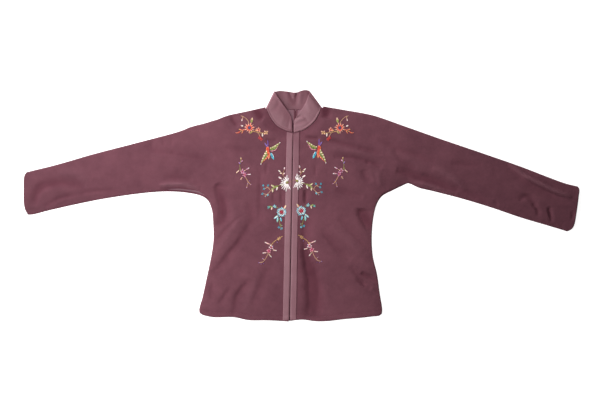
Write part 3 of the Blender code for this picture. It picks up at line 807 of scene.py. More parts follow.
def rows_through(stations):
    """The stations with rows between them, and closer ones at both ends."""
    rows = np.array(stations)
    last = len(rows) - 1
    ends = np.array(END_ROWS)
    places = np.union1d(np.linspace(0, last, last * ROWS_BETWEEN + 1), [*ends, *(last - ends)])
    before = np.clip(places.astype(int), 0, last - 1)
    t = (places - before)[:, None]
    slopes = np.gradient(rows, axis=0)
    curve = (2 * t**3 - 3 * t**2 + 1) * rows[before] + (t**3 - 2 * t**2 + t) * slopes[before]
    return curve + (3 * t**2 - 2 * t**3) * rows[before + 1] + (t**3 - t**2) * slopes[before + 1]


def turned(front, back, way):
    """Rows round the bend at the side of the neck, a half circle from the front to the back."""
    middle = (front + back) / 2
    rise = middle[2:4] - middle[:2]
    outward = np.array([-rise[1], rise[0]]) * way / np.hypot(*rise)
    rows = []
    for angle in np.linspace(0, np.pi, TURN_ROWS + 2)[1:-1]:
        row = middle + (front - back) / 2 * np.cos(angle)
        row[:4] += np.concatenate([outward * (front - back)[end] / 2 for end in (4, 5)]) * np.sin(angle)
        rows.append(row)
    return rows


right, back, left = (rows_through(rows) for rows in (COLLAR_RIGHT, COLLAR_BACK, COLLAR_LEFT))
from_roll = np.linalg.norm(left[:, :2] - left[0, :2], axis=1)[:, None]
left[:, 4:] -= ROLL_DROP * np.exp(-((from_roll / ROLL_REACH) ** 2))
right_turn, left_turn = turned(right[-1], back[0], 1), turned(left[0], back[-1], -1)[::-1]
collar_rows = np.vstack([right, right_turn, back, left_turn, left])
behind = np.zeros(len(collar_rows), bool)
behind[len(right) + TURN_ROWS : len(right) + TURN_ROWS + len(back)] = True
print("collar:", len(collar_rows), "rows,", behind.sum(), "of them behind the neck")

# %% [markdown]
# ## The collar's shell
#
# The strip is a little padded between its two edges, with a thin roll along the seam, and it has creases of
# its own: two on the left front, where it bends to meet the neck, and a pair in a V behind. The wall goes
# half its thickness each way from the middle surface, and thins to nothing at its rim, which rounds it. Light
# and shade are also painted into the satin's colour: the right front, which leans away from the light, and the
# inside, which is in shadow, are painted darker, its creases are painted darker, there are painted shadows
# along the seam, at the ends, under the lap and at the turn, and the left front is painted lighter.

# %%
# Collar mesh
PUFF_STRETCH, PUFF_START = 1.15, 0.05
COLLAR_PUFF = 1.3
COLLAR_ROLL, ROLL_PLACE, ROLL_WIDTH = 0.9, 3.2, 1.3
COLLAR_DIP, DIP_PLACE, DIP_WIDTH = 0.45, 6.0, 1.8
RIM_REACH = 3.0
THINNEST_RIM = 0.06
# Painted light and shade of the collar: painted shade on the inside and the right front, painted light on the
# left front, and painted shadows at the seam, the ends, the top, the lap and the turn
INSIDE_PAINTED_SHADE, RIGHT_PAINTED_SHADE, LEFT_PAINTED_LIGHT = -0.6, -0.9, 0.8
COLLAR_CREASE_PER_PAINTED_SHADE = 2.2
SEAM_SHADE, END_SHADE, TOP_SHADE, LAP_SHADE = (0.5, 1.5), (2.0, 1.6), (0.8, 5), (1.8, 5)
INSIDE_SHADE = 0.6
TURN_SHADE, TURN_REACH = 2.6, 6
FRONT_CREASES = (
    (-19, 229, -8, 234, 6, 236, 3.2, -2.4),
    (-18, 216, -2, 220, 16, 226, 3.6, -2.2),
    (-18, 222, -6, 227, 8, 230, 3.0, 1.0),
    (-84, 250, -66, 262, -60, 282, 6.0, -1.4),
    (-58, 214, -50, 226, -47, 240, 6.0, 0.9),
    (-36, 204, -34, 216, -32, 230, 4.0, -0.9),
    (24, 246, 20, 262, 14, 274, 6.0, 1.1),
    (2, 240, 14, 226, 22, 216, 5.0, -1.0),
)
BACK_CREASES = (
    (-32, 302, -26, 284, -20, 264, 3.4, -3.0),
    (-10, 302, -15, 284, -20, 264, 3.4, -3.4),
    (-44, 300, -40, 284, -34, 266, 5.0, 1.0),
    (0, 302, -4, 284, -6, 266, 5.0, 1.2),
)


def strip_faces(shape):
    """The faces of a closed strip: its grid of points from above, the same from below, and its rim."""
    index = np.arange(shape[0] * shape[1]).reshape(shape)
    corners = (index[:-1, :-1], index[1:, :-1], index[1:, 1:], index[:-1, 1:])
    above = np.column_stack([corner.ravel() for corner in corners])
    edge = np.concatenate([index[:-1, 0], index[-1, :-1], index[:0:-1, -1], index[0, :0:-1]])
    after = np.roll(edge, -1)
    rim = np.column_stack([after, edge, edge + index.size, after + index.size])
    return np.vstack([above, above[:, ::-1] + index.size, rim])


def shade(most, reach, away):
    """A painted shade that is deepest at an edge and fades away from it."""
    return most * np.exp(-away / reach)


def collar_painted_light(plain, creases, from_seam, from_top, from_end):
    """The painted light and shade of each point of the collar."""
    from_lap = nearest(plain, evenly(right[:, 2:4], 0.5))[0].reshape(creases.shape)
    from_turn = nearest(plain, evenly(left[0, :4].reshape(2, 2), 0.5))[0].reshape(creases.shape)
    at_right = np.arange(len(behind)) < len(right)
    ground = np.select([behind, at_right], [INSIDE_PAINTED_SHADE, RIGHT_PAINTED_SHADE], LEFT_PAINTED_LIGHT)[:, None]
    painted_light = ground + creases / COLLAR_CREASE_PER_PAINTED_SHADE - shade(*SEAM_SHADE, from_seam) - shade(*END_SHADE, from_end)
    inside = INSIDE_SHADE + shade(*TOP_SHADE, from_top) + shade(*LAP_SHADE, from_lap)
    at_turn = TURN_SHADE * np.exp(-((from_turn / TURN_REACH) ** 2))
    return painted_light - (np.where(behind[:, None], inside, 0) + at_turn)


def collar_shell():
    share = np.array(COLLAR_SHARES)[None, :, None]
    grid = collar_rows[:, None, [0, 1, 4]] * (1 - share) + collar_rows[:, None, [2, 3, 5]] * share
    across = np.linalg.norm(collar_rows[:, 2:4] - collar_rows[:, :2], axis=1)[:, None]
    from_seam = across * share[..., 0]
    from_top = across - from_seam
    steps = np.linalg.norm(np.diff(grid[:, 0], axis=0), axis=1)
    along = np.concatenate([[0.0], np.cumsum(steps)])
    from_end = np.minimum(along, along[-1] - along)[:, None]
    rim = np.minimum(np.minimum(from_seam, from_top), from_end)
    plain = grid[..., :2].reshape(-1, 2)
    back_creases, front_creases = (crease_height(plain, table) for table in (BACK_CREASES, FRONT_CREASES))
    creases = np.where(behind[:, None], back_creases.reshape(rim.shape), front_creases.reshape(rim.shape))
    puff = COLLAR_PUFF * np.sin(np.pi * np.clip(share[..., 0] * PUFF_STRETCH - PUFF_START, 0, 1))
    roll = COLLAR_ROLL * np.exp(-(((from_seam - ROLL_PLACE) / ROLL_WIDTH) ** 2))
    dip = COLLAR_DIP * np.exp(-(((from_seam - DIP_PLACE) / DIP_WIDTH) ** 2))
    raised = np.where(behind[:, None], creases, creases + puff + roll - dip)
    firm = np.where(behind[:, None], np.minimum(from_seam, from_end), rim)
    grid[..., 2] += raised * np.clip(firm / RIM_REACH, 0, 1)
    grid[..., 2] = np.maximum(grid[..., 2], COLLAR_WALL / 2)
    out = np.cross(np.gradient(grid, axis=0), np.gradient(grid, axis=1))
    out /= np.linalg.norm(out, axis=2)[..., None]
    left_of_rim = np.clip(1.0 - rim / (COLLAR_WALL / 2), 0.0, 1.0)
    half = np.maximum(COLLAR_WALL / 2 * np.sqrt(1 - left_of_rim**2), THINNEST_RIM)[..., None]
    vertices = np.vstack([(grid + out * half).reshape(-1, 3), (grid - out * half).reshape(-1, 3)])
    painted_light = collar_painted_light(plain, creases, from_seam, from_top, from_end)
    return vertices, strip_faces(rim.shape), np.tile(painted_light.ravel(), 2)


vertices, faces, painted_shading = collar_shell()
pieces["collar"] = make_piece("collar_satin", vertices, faces, satin, painted_shading=painted_shading)
print("collar_satin", len(pieces["collar"].data.polygons), "faces")

# %% [markdown]
# ## The bands
#
# A band of satin is sewn flat along each front's edge. It takes its height from the front under it, found
# by dropping a ray onto the cloth at each point, so it follows every crease. At the places of the hidden
# fastening its surface is drawn in a little. The inner edge stands a little past the front's, so it is kept
# level there. Light and shade are painted into the bands' colour: the right band, which catches more light,
# is painted lighter, the more so towards the neck, the left one darker, the more so near the neck, and both
# get a painted shadow where the collar shades them.

# %%
# Bands along the front edges
BAND_COLUMNS = (0.0, 0.25, 0.8, 1.8, 4.5, 7.75, 11.0, 13.7, 14.7, 15.25, 15.5)
BAND_STEP = 3.5
BAND_CLOSING = 0.6
BAND_ENDS = (0, 0.3, 0.9, 1.8)
BAND_TOP, BAND_SHORT = 1.4, 4.0
BAND_NARROWER = 0.01
BAND_ROUNDING = 0.7
BAND_ABOVE, BAND_UNDER = 0.12, 0.05
BAND_RIPPLE = 0.12
INNER_REST, INNER_DROP = 3, 0.5
DENT, DENT_REACH = 0.45, 2.0
# Painted light and shade of the bands: a painted shadow under the collar, painted light on the right band and
# painted shade on the left
COLLAR_SHADE = (1.6, 18.0)
RIGHT_BAND_PAINTED_LIGHT, RIGHT_BAND_PAINTED_FALLOFF = 0.8, 0.3
LEFT_BAND_PAINTED_SHADE, LEFT_BAND_PAINTED_FALLOFF = -0.3, 0.5
HIGH_ABOVE = 0.1
FASTENINGS = (131.0, 72.0, -96.0, -193.0)
BANDS = {
    "right": (RIGHT_FRONT_NECK, np.array([-38.6, 196.6]), RIGHT_FRONT_HEM, np.array([-49.0, -305.4])),
    "left": (LEFT_FRONT_NECK, np.array([-5.2, 196.0]), LEFT_FRONT_HEM, np.array([-13.5, -303.2])),
}


def surface_of(*objects):
    """A function that gives the height of the topmost of these objects' surfaces, in millimetres."""
    vertices, faces = [], []
    for obj in objects:
        first = len(vertices)
        vertices += [vertex.co.copy() for vertex in obj.data.vertices]
        faces += [[first + i for i in polygon.vertices] for polygon in obj.data.polygons]
    tree = BVHTree.FromPolygons(vertices, faces)
    down = Vector((0, 0, -1))

    def height(points):
        places = (np.asarray(points) - TABLE_ORIGIN) * MM
        hits = [tree.ray_cast(Vector((x, y, HIGH_ABOVE)), down)[0] for x, y in places]
        return np.array([WALL + GAP if hit is None else hit.z / MM for hit in hits])

    return height


def band_shell(side, on_cloth):
    inner_neck, outer_neck, inner_hem, outer_hem = BANDS[side]
    inner_hem = inner_hem + [SIDES[side] * BAND_CLOSING, 0]
    columns = np.array(BAND_COLUMNS)
    neck = inner_neck + (outer_neck - inner_neck) * columns[:, None] / BAND_WIDTH
    hem = inner_hem + (outer_hem - inner_hem) * columns[:, None] / BAND_WIDTH
    length = np.linalg.norm(inner_hem - inner_neck)
    rows = np.arange(0, length, BAND_STEP) / length
    ends = np.array(BAND_ENDS) / length
    rows = np.union1d(rows[(rows > 0.006) & (rows < 0.994)], np.concatenate([ends, 1 - ends]))
    rows = rows * (1 - BAND_SHORT / length) + BAND_TOP / length
    grid = neck[None] * (1 - rows[:, None, None]) + hem[None] * rows[:, None, None]
    grid = grid * (1 - BAND_NARROWER) + grid.mean(axis=1, keepdims=True) * BAND_NARROWER
    plain = grid.reshape(-1, 2)
    floor = on_cloth(plain).reshape(grid.shape[:2])
    floor = np.maximum(floor, floor[:, INNER_REST][:, None] - INNER_DROP)
    y = grid[..., 1]
    from_side = np.minimum(columns, BAND_WIDTH - columns)[None]
    from_end = np.minimum(rows, rows[::-1])[:, None] * length
    rim = np.minimum(from_side, from_end)
    rounding = np.sqrt(1 - np.clip(1 - rim / BAND_ROUNDING, 0, 1) ** 2)
    top = floor + BAND_ABOVE + BAND_WALL * rounding
    for place in FASTENINGS:
        top -= DENT * np.exp(-(((y - place) / DENT_REACH) ** 2)) * np.sin(np.pi * columns / BAND_WIDTH)
    ripple = [noise.noise(Vector((u / 14, v / 9, 3.0))) for u, v in plain]
    top += BAND_RIPPLE * np.array(ripple).reshape(y.shape)
    heights = (top.ravel(), floor.ravel() + BAND_UNDER)
    vertices = np.vstack([np.column_stack([plain, height]) for height in heights])
    faces = strip_faces(y.shape)
    painted_light = LEFT_BAND_PAINTED_SHADE - LEFT_BAND_PAINTED_FALLOFF * np.exp(-rows * 2)
    if side == "right":
        faces = faces[:, ::-1]
        painted_light = RIGHT_BAND_PAINTED_LIGHT - RIGHT_BAND_PAINTED_FALLOFF * rows
    return vertices, faces, np.repeat(painted_light - shade(*COLLAR_SHADE, rows * length), len(columns))


for side in SIDES:
    on_cloth = surface_of(pieces["front_" + side])
    vertices, faces, painted_shading = band_shell(side, on_cloth)
    pieces["band_" + side] = make_piece("band_" + side + "_satin", vertices, faces, satin, painted_shading=painted_shading)
    print("band", side, len(pieces["band_" + side].data.polygons), "faces")

# %% [markdown]
# ## Silk threads
#
# The embroidery is satin stitch: every petal, leaf and wing is a row of threads laid side by side, and
# every stem is a line of short threads that overlap. So everything is made of one small shape, a thread
# that is flat below, round above and pointed at both ends. It takes its colours from an attribute on the
# mesh.

# %%
# Thread colours and their material
DYES = {
    "coral": (226, 96, 66), "salmon": (240, 150, 118), "shell": (255, 205, 180), "red": (214, 46, 34),
    "orange": (238, 120, 56), "gold": (214, 172, 104), "tan": (204, 160, 122), "brown": (160, 122, 84),
    "olive": (146, 144, 76), "green": (98, 122, 54), "moss": (152, 164, 84), "cream": (240, 222, 190),
    "white": (246, 242, 240), "pink": (232, 170, 178), "rose": (210, 104, 136),
    "magenta": (186, 44, 100), "mauve": (196, 142, 184), "lavender": (140, 112, 186),
    "purple": (98, 62, 140), "slate": (92, 80, 122), "crimson": (184, 48, 68),
    "turquoise": (84, 196, 214), "teal": (52, 146, 176), "sky": (160, 216, 226),
    "mint": (120, 196, 170), "plum": (98, 58, 68),
}
THREADS = {name: colour(*screen) for name, screen in DYES.items()}
STRAND_SCALE = 900.0


def silk():
    material, tree, shader = new_material("silk_thread", Specular_IOR_Level=0.5, Sheen_Weight=0.15)
    dyed = add_node(tree, "ShaderNodeAttribute", attribute_name="dyed")
    where = add_node(tree, "ShaderNodeTexCoord").outputs["Object"]
    strands = noise_at(tree, where, STRAND_SCALE, 2.0)
    worn = add_node(tree, "ShaderNodeHueSaturation")
    tree.links.new(dyed.outputs["Color"], worn.inputs["Color"])
    tree.links.new(maths(tree, "MULTIPLY_ADD", strands, 0.8, 0.8), worn.inputs["Value"])
    tree.links.new(worn.outputs[0], shader.inputs["Base Color"])
    tree.links.new(maths(tree, "MULTIPLY_ADD", strands, 0.2, 0.35), shader.inputs["Roughness"])
    bumped(tree, strands, 0.00008, shader)
    return material


thread_material = silk()
print(len(THREADS), "thread colours")

# %% [markdown]
# ## Stitches with Geometry Nodes
#
# A stitch repeats more than a thousand times, so it is made by Geometry Nodes. Each stitch is one point
# that carries its direction, length, width and height. The tree puts a copy of the thread on each point,
# turned and scaled by those values, with a little unevenness from a fixed seed, and makes the copies real
# at the end.

# %%
# The stitch tree
THREAD_RING = ((-0.5, 0.1), (-0.3, 0.8), (0.3, 0.8), (0.5, 0.1), (0.3, -0.25), (-0.3, -0.25))
THREAD_SECTIONS = ((0.06, 0.5), (0.25, 0.9), (0.5, 1.0), (0.75, 0.9), (0.94, 0.5))


def thread_object():
    """One thread along X, a metre long, wide and high before it is scaled, with the share of its length."""
    vertices = [(0.0, 0.0, 0.1)]
    for along, full in THREAD_SECTIONS:
        vertices += [(along, y * full, z * full) for y, z in THREAD_RING]
    vertices.append((1.0, 0.0, 0.1))
    count = len(THREAD_RING)
    faces = []
    for i in range(count):
        j = (i + 1) % count
        faces.append((0, 1 + j, 1 + i))
        last = 1 + count * (len(THREAD_SECTIONS) - 1)
        faces.append((len(vertices) - 1, last + i, last + j))
        for first in range(1, last, count):
            faces.append((first + i, first + j, first + count + j, first + count + i))
    mesh = bpy.data.meshes.new("thread")
    mesh.from_pydata(vertices, [], faces)
    mesh.shade_smooth()
    keep(mesh, "along", [vertex[0] for vertex in vertices])
    return bpy.data.objects.new("thread", mesh)


def stitch_tree():
    tree = bpy.data.node_groups.new("Laid stitches", "GeometryNodeTree")
    tree.is_modifier = True
    sockets = (
        ("Points", "NodeSocketGeometry"),
        ("Thread", "NodeSocketObject"),
        ("Silk", "NodeSocketMaterial"),
        ("Thinnest", "NodeSocketFloat"),
        ("Thickest", "NodeSocketFloat"),
        ("Seed", "NodeSocketInt"),
    )
    for name, kind in sockets:
        tree.interface.new_socket(name=name, in_out="INPUT", socket_type=kind)
    tree.interface.new_socket(name="Stitches", in_out="OUTPUT", socket_type="NodeSocketGeometry")
    given = add_node(tree, "NodeGroupInput").outputs
    value = {}
    for name in ("turn", "long", "wide", "tall"):
        stored = add_node(tree, "GeometryNodeInputNamedAttribute", data_type="FLOAT")
        stored.inputs["Name"].default_value = name
        value[name] = stored.outputs["Attribute"]
    random = add_node(tree, "FunctionNodeRandomValue", data_type="FLOAT")
    links = {socket.name: socket for socket in random.inputs if socket.enabled}
    for socket, source in (("Min", "Thinnest"), ("Max", "Thickest"), ("Seed", "Seed")):
        tree.links.new(given[source], links[socket])
    factor = next(socket for socket in random.outputs if socket.enabled)
    size = add_node(tree, "ShaderNodeCombineXYZ")
    tree.links.new(value["long"], size.inputs[0])
    tree.links.new(maths(tree, "MULTIPLY", value["wide"], factor), size.inputs[1])
    tree.links.new(value["tall"], size.inputs[2])
    turn = add_node(tree, "ShaderNodeCombineXYZ")
    tree.links.new(value["turn"], turn.inputs[2])
    rotation = add_node(tree, "FunctionNodeEulerToRotation")
    tree.links.new(turn.outputs[0], rotation.inputs[0])
    shape = add_node(tree, "GeometryNodeObjectInfo")
    tree.links.new(given["Thread"], shape.inputs["Object"])
    laid = add_node(tree, "GeometryNodeInstanceOnPoints")
    tree.links.new(given["Points"], laid.inputs["Points"])
    tree.links.new(shape.outputs["Geometry"], laid.inputs["Instance"])
    tree.links.new(rotation.outputs[0], laid.inputs["Rotation"])
    tree.links.new(size.outputs[0], laid.inputs["Scale"])
    real = add_node(tree, "GeometryNodeRealizeInstances")
    tree.links.new(laid.outputs[0], real.inputs[0])
    dressed = add_node(tree, "GeometryNodeSetMaterial")
    tree.links.new(real.outputs[0], dressed.inputs["Geometry"])
    tree.links.new(given["Silk"], dressed.inputs["Material"])
    tree.links.new(dressed.outputs[0], add_node(tree, "NodeGroupOutput").inputs["Stitches"])
    return tree


laid_stitches = stitch_tree()
thread = thread_object()
print("stitch tree:", len(laid_stitches.nodes), "nodes; thread:", len(thread.data.polygons), "faces")

# %% [markdown]
# ## Laying the stitches on the cloth
#
# The tree lays its threads on a flat plane. Each vertex is then lifted by the height of the cloth or band
# under it, so the embroidery follows the creases and steps up onto the bands. The two colours of a stitch
# are mixed along its length, which is how long and short stitches shade a petal.

# %%
# From stitch records to a draped mesh
Stitch = namedtuple("Stitch", "x y turn long wide tall layer first last")
THINNEST, THICKEST = 0.88, 1.14
STITCH_SCALES = {"turn": 1.0, "long": MM, "wide": MM, "tall": MM}


def sewn(name, stitches, on_cloth, seed):
    """A mesh object of all these stitches, draped on the cloth."""
    mesh = bpy.data.meshes.new(name)
    places = np.array([(s.x, s.y) for s in stitches])
    layers = np.array([s.layer for s in stitches])
    flat = np.column_stack([(places - TABLE_ORIGIN) * MM, layers * MM])
    mesh.from_pydata(flat.tolist(), [], [])
    for key, scale in STITCH_SCALES.items():
        keep(mesh, key, [getattr(s, key) * scale for s in stitches])
    for key in ("first", "last"):
        dye = np.array([THREADS[getattr(s, key)] for s in stitches], np.float32)
        keep(mesh, key, dye.ravel(), "FLOAT_COLOR", "color")
    source = in_scene(name + "_points", mesh)
    modifier = source.modifiers.new("Stitches", "NODES")
    modifier.node_group = laid_stitches
    values = {"Thread": thread, "Silk": thread_material, "Seed": seed}
    values |= {"Thinnest": THINNEST, "Thickest": THICKEST}
    for socket in laid_stitches.interface.items_tree:
        if socket.name in values and socket.in_out == "INPUT":
            modifier[socket.identifier] = values[socket.name]
    source.update_tag()
    bpy.context.view_layer.update()
    made = bpy.data.meshes.new_from_object(source.evaluated_get(bpy.context.evaluated_depsgraph_get()))
    made.name = name
    bpy.data.objects.remove(source)
    count = len(made.vertices)
    co, along = np.empty(count * 3), np.empty(count)
    made.vertices.foreach_get("co", co)
    made.attributes["along"].data.foreach_get("value", along)
    co = co.reshape(-1, 3)
    co[:, 2] += on_cloth(co[:, :2] / MM + TABLE_ORIGIN) * MM
    made.vertices.foreach_set("co", co.ravel())
    ends = []
    for key in ("first", "last"):
        dye = np.empty(count * 4)
        made.attributes[key].data.foreach_get("color", dye)
        ends.append(dye.reshape(-1, 4))
    mixed = ends[0] * (1 - along[:, None]) + ends[1] * along[:, None]
    keep(made, "dyed", mixed.ravel(), "FLOAT_COLOR", "color")
    for key in (*STITCH_SCALES, "first", "last", "along"):
        if key in made.attributes:
            made.attributes.remove(made.attributes[key])
    made.shade_smooth()
    return in_scene(name, made)


# %% [markdown]
# ## The parts of a spray
#
# Sprays are drawn with five kinds of part. A stem is a curve of short stitches. A petal, leaf or bud is a
# fan of threads between two ends, with its colours across it. A wing is rows of stitches between two edges,
# with the dyes of a row in turn. A bloom is a ring of petals, and knots are small crossed stitches, one or
# a round group. Each is given in a spray's own millimetres, outwards from the middle and upwards.

# %%
# Parts of a spray
Stem = namedtuple("Stem", "colour knots")
Petal = namedtuple("Petal", "x y angle length width colours tip")
Bloom = namedtuple("Bloom", "x y inner outer petals first last start")
Knots = namedtuple("Knots", "x y size colour radius count", defaults=(0, 1))
Wing = namedtuple("Wing", "outer inner colours")
STEM_STITCH, STEM_STEP, STEM_SLANT = 4.6, 0.7, 0.12
STEM_WIDTH, STEM_HEIGHT = 1.35, 0.7
THREAD_WIDTH = 1.25
PETAL_HEIGHT, PETAL_LAYER, PETAL_FILL = 0.75, 0.12, 1.15
ROOT_WIDTH, ROOT_ROUND, TIP_WIDTH, TIP_ROUND = 0.42, 0.16, 0.34, 0.3
WING_STEP, WING_HEIGHT = 3.4, 0.9
BLOOM_SPREAD, BLOOM_WIDEST, BLOOM_LAYER = 0.26, 2.6, 0.15
KNOT_TURN, KNOT_HEIGHT, KNOT_LAYER = 2.4, 0.95, 0.25


def stem_stitches(part):
    line = smooth_curve(part.knots, STEM_STITCH * STEM_STEP)
    for start, end in zip(line[:-1], line[1:]):
        turn = turn_of(end - start) + STEM_SLANT
        yield Stitch(*start, turn, STEM_STITCH, STEM_WIDTH, STEM_HEIGHT, 0.0, part.colour, part.colour)


def petal_stitches(part):
    colours = part.colours.split()
    count = max(len(colours), round(part.width / THREAD_WIDTH))
    way = heading(np.radians(part.angle))
    side = np.array([-way[1], way[0]])
    start = np.array([part.x, part.y])
    end = start + way * part.length
    middle = (start + end) / 2
    for i in range(count):
        place = (i + 0.5) / count - 0.5
        bulge = side * place * part.width
        first = colours[min(int((i + 0.5) / count * len(colours)), len(colours) - 1)]
        root = start + bulge * ROOT_WIDTH + way * abs(place) * part.length * ROOT_ROUND
        tip = end + bulge * TIP_WIDTH - way * abs(place) * part.length * TIP_ROUND
        centre = middle + bulge
        for a, b, dye in ((root, centre, (first, first)), (centre, tip, (first, part.tip or first))):
            run = b - a
            reach = np.hypot(*run)
            begin = a - run / reach * 0.5
            wide = max(part.width / count * PETAL_FILL, 0.9)
            yield Stitch(*begin, turn_of(run), reach + 1.2, wide, PETAL_HEIGHT, PETAL_LAYER, *dye)


def wing_stitches(part):
    outer, inner = np.array(part.outer, float), np.array(part.inner, float)
    rails = part.colours.split()
    for i, rail in enumerate(rails):
        share = i / (len(rails) - 1)
        line = smooth_curve(outer * (1 - share) + inner * share, WING_STEP)
        dyes = rail.split("/")
        for j, (start, end) in enumerate(zip(line[:-1], line[1:])):
            way = end - start
            at = (j + 0.5) / (len(line) - 1) * (len(outer) - 1)
            apart = np.linalg.norm(outer - inner, axis=1) / (len(rails) - 1)
            wide = max(np.interp(at, np.arange(len(outer)), apart) * 1.2, 1.0)
            long, dye = np.hypot(*way) * 1.3, dyes[j % len(dyes)]
            yield Stitch(*start, turn_of(way), long, wide, WING_HEIGHT, PETAL_LAYER, dye, dye)


def bloom_stitches(part):
    for i in range(part.petals):
        angle = np.radians(part.start + 360 * (i / part.petals))
        way = heading(angle)
        side = np.array([-way[1], way[0]])
        spread = min(2 * np.pi / part.petals * part.outer * BLOOM_SPREAD, BLOOM_WIDEST)
        for place in (-0.5, 0.0, 0.5):
            start = np.array([part.x, part.y]) + way * part.inner + side * place * spread * 0.5
            length = (part.outer - part.inner) * (1.0 - 0.25 * abs(place) * 2 + 0.15 * np.sin(i * 2.6))
            turn = angle + place * 2.0 / part.petals
            wide = max(spread * 0.5, 0.8)
            yield Stitch(*start, turn, length, wide, PETAL_HEIGHT, BLOOM_LAYER, part.first, part.last)


def knot_stitches(part):
    for i in range(part.count):
        reach = part.radius * np.sqrt((i + 0.3) / part.count)
        place = np.array([part.x, part.y]) + reach * heading(KNOT_TURN * i)
        for turn in (0.7 * i, 0.7 * i + 1.57):
            begin = place - heading(turn) * part.size / 2
            dye = (part.colour, part.colour)
            yield Stitch(*begin, turn, part.size, part.size * 0.8, KNOT_HEIGHT, KNOT_LAYER, *dye)


MAKERS = {
    Stem: stem_stitches,
    Petal: petal_stitches,
    Wing: wing_stitches,
    Bloom: bloom_stitches,
    Knots: knot_stitches,
}

# %% [markdown]
# ## The sprays
#
# The embroidery is a traditional set of sprays: a coral blossom branch at each shoulder, a butterfly, a
# small mauve spray, half a white daisy at each side of the opening, a ring flower, and another mauve spray
# below. The parts are placed from the look of such work. Only one half is drawn, and the other
# mirrors it.

# %%
# Drawing of each spray
DAISY_HEART, DAISY_WIDTH = 3.6, 2.7
DAISY_PETALS = (
    (108, 10), (90, 17), (70, 14), (48, 12), (26, 14), (6, 13), (-13, 17),
    (-31, 15), (-48, 19), (-66, 18), (-83, 21), (-100, 14), (-117, 17),
)
SPRAYS = {}
SPRAYS["blossom"] = (
    Stem("tan", ((1, 10), (4, 18), (9, 24), (16, 29), (22, 31))),
    Stem("tan", ((17, 29), (18, 26), (18, 23))),
    Stem("gold", ((-8, -9), (-18, -11), (-28, -13), (-38, -14), (-46, -12))),
    Stem("tan", ((-22, -12), (-26, -18), (-29, -26))),
    Stem("gold", ((10, -5), (20, -8), (30, -13))),
    Petal(-5, 13, 100, 14, 7.0, "olive moss olive", "shell"),
    Petal(17, 4, 20, 6, 4.0, "cream white", "pink"),
    Petal(19, 24, -80, 6, 3.0, "pink cream", "white"),
    Petal(-8, -8, -50, 10, 4.6, "gold olive gold", "olive"),
    Petal(-15, -6, 200, 8, 3.0, "salmon gold", "gold"),
    Petal(-34, -15, -95, 8, 3.8, "white cream", "white"),
    Petal(12, -5, -15, 8, 2.6, "coral salmon", "coral"),
    Petal(17, -9, -60, 7, 2.4, "coral gold", "coral"),
    Petal(20, -6, 15, 8, 3.0, "salmon coral", "gold"),
    Petal(25, -10, -35, 7, 2.4, "coral red", "coral"),
    Petal(28, -13, -8, 7, 2.4, "coral gold", "coral"),
    Petal(31, -14, 8, 6, 2.2, "red coral", "salmon"),
    Bloom(0, 0, 4.4, 14.6, 11, "coral", "shell", 10),
    Bloom(0, 0, 4.0, 8.4, 11, "red", "coral", 26),
    Bloom(-24, -5, 1.2, 7.0, 5, "coral", "shell", 20),
    Bloom(-44, -13, 1.6, 6.8, 4, "gold", "shell", 50),
    Bloom(-28, -27, 0.8, 6.0, 5, "crimson", "red", 0),
    Bloom(-32, -31, 0.6, 4.2, 4, "crimson", "coral", 30),
    Knots(0, 0, 2.8, "slate", 3.8, 8),
    Knots(-24, -5, 1.8, "crimson"),
    Knots(-44, -13, 1.6, "brown"),
)
SPRAYS["butterfly"] = (
    Petal(1, 16, 86, 18, 3.6, "lavender purple", "purple"),
    Petal(3, 15, 58, 13, 3.6, "purple lavender", "lavender"),
    Wing(
        ((-3, 12), (-12, 15), (-21, 20), (-30, 26)),
        ((-5, 5), (-12, 5), (-18, 7), (-28, 24)),
        "cream/moss olive green/moss green rose/pink",
    ),
    Wing(
        ((4, 6), (11, -5), (16, -16), (20, -29)),
        ((2, -8), (5, -14), (10, -19), (19, -28)),
        "cream/olive moss/cream green olive salmon/red",
    ),
    Petal(-6, 0, -114, 20, 8.0, "white turquoise teal turquoise teal", "turquoise"),
    Petal(3, 16, -96, 17, 10.0, "red coral red orange", "coral"),
    Petal(1, 4, -96, 16, 10.6, "salmon red coral orange red", "coral"),
    Petal(-2, -9, -78, 8, 4.0, "orange gold", "gold"),
    Petal(2, -8, -106, 8, 3.4, "red rose", "salmon"),
    Knots(1, 15, 3.2, "salmon"),
    Knots(-1, -8, 2.2, "gold"),
    Knots(-30, 27, 2.6, "white"),
    Knots(20, -30, 2.6, "white"),
)
SPRAYS["mauve spray"] = (
    Stem("olive", ((7, 36), (8, 28), (10, 18), (9, 9), (4, 2))),
    Stem("tan", ((0, -4), (-5, -13), (-9, -20), (-13, -26), (-18, -32))),
    Stem("tan", ((-12, -25), (-10, -33), (-8, -40))),
    Stem("olive", ((9, 12), (13, 5), (18, -2))),
    Stem("tan", ((1, 3), (-6, 7), (-13, 11))),
    Petal(12, 5, -38, 10, 2.8, "pink cream", "shell"),
    Petal(-6, 7, 150, 10, 2.8, "mauve pink", "white"),
    Petal(-9, -5, 180, 10, 3.0, "rose white", "white"),
    Petal(3, -13, -50, 8, 2.6, "brown shell", "shell"),
    Petal(7, 27, 130, 6, 2.6, "mauve", "pink"),
    Petal(9, 22, 50, 6, 2.6, "lavender", "mauve"),
    Petal(7, 34, 80, 5, 2.4, "gold", "cream"),
    Bloom(3, 2, 2.0, 7.4, 5, "mauve", "pink", 15),
    Bloom(-2, -6, 2.0, 7.0, 5, "rose", "mauve", 40),
    Knots(3, 2, 2.4, "magenta", 0.9, 3),
    Knots(-3, -6, 2.4, "magenta", 0.9, 3),
    Knots(-10, -30, 2.2, "lavender"),
    Knots(-8, -40, 2.4, "mauve"),
    Knots(-19, -32, 2.2, "mauve"),
    Knots(-15, -23, 1.8, "lavender"),
)
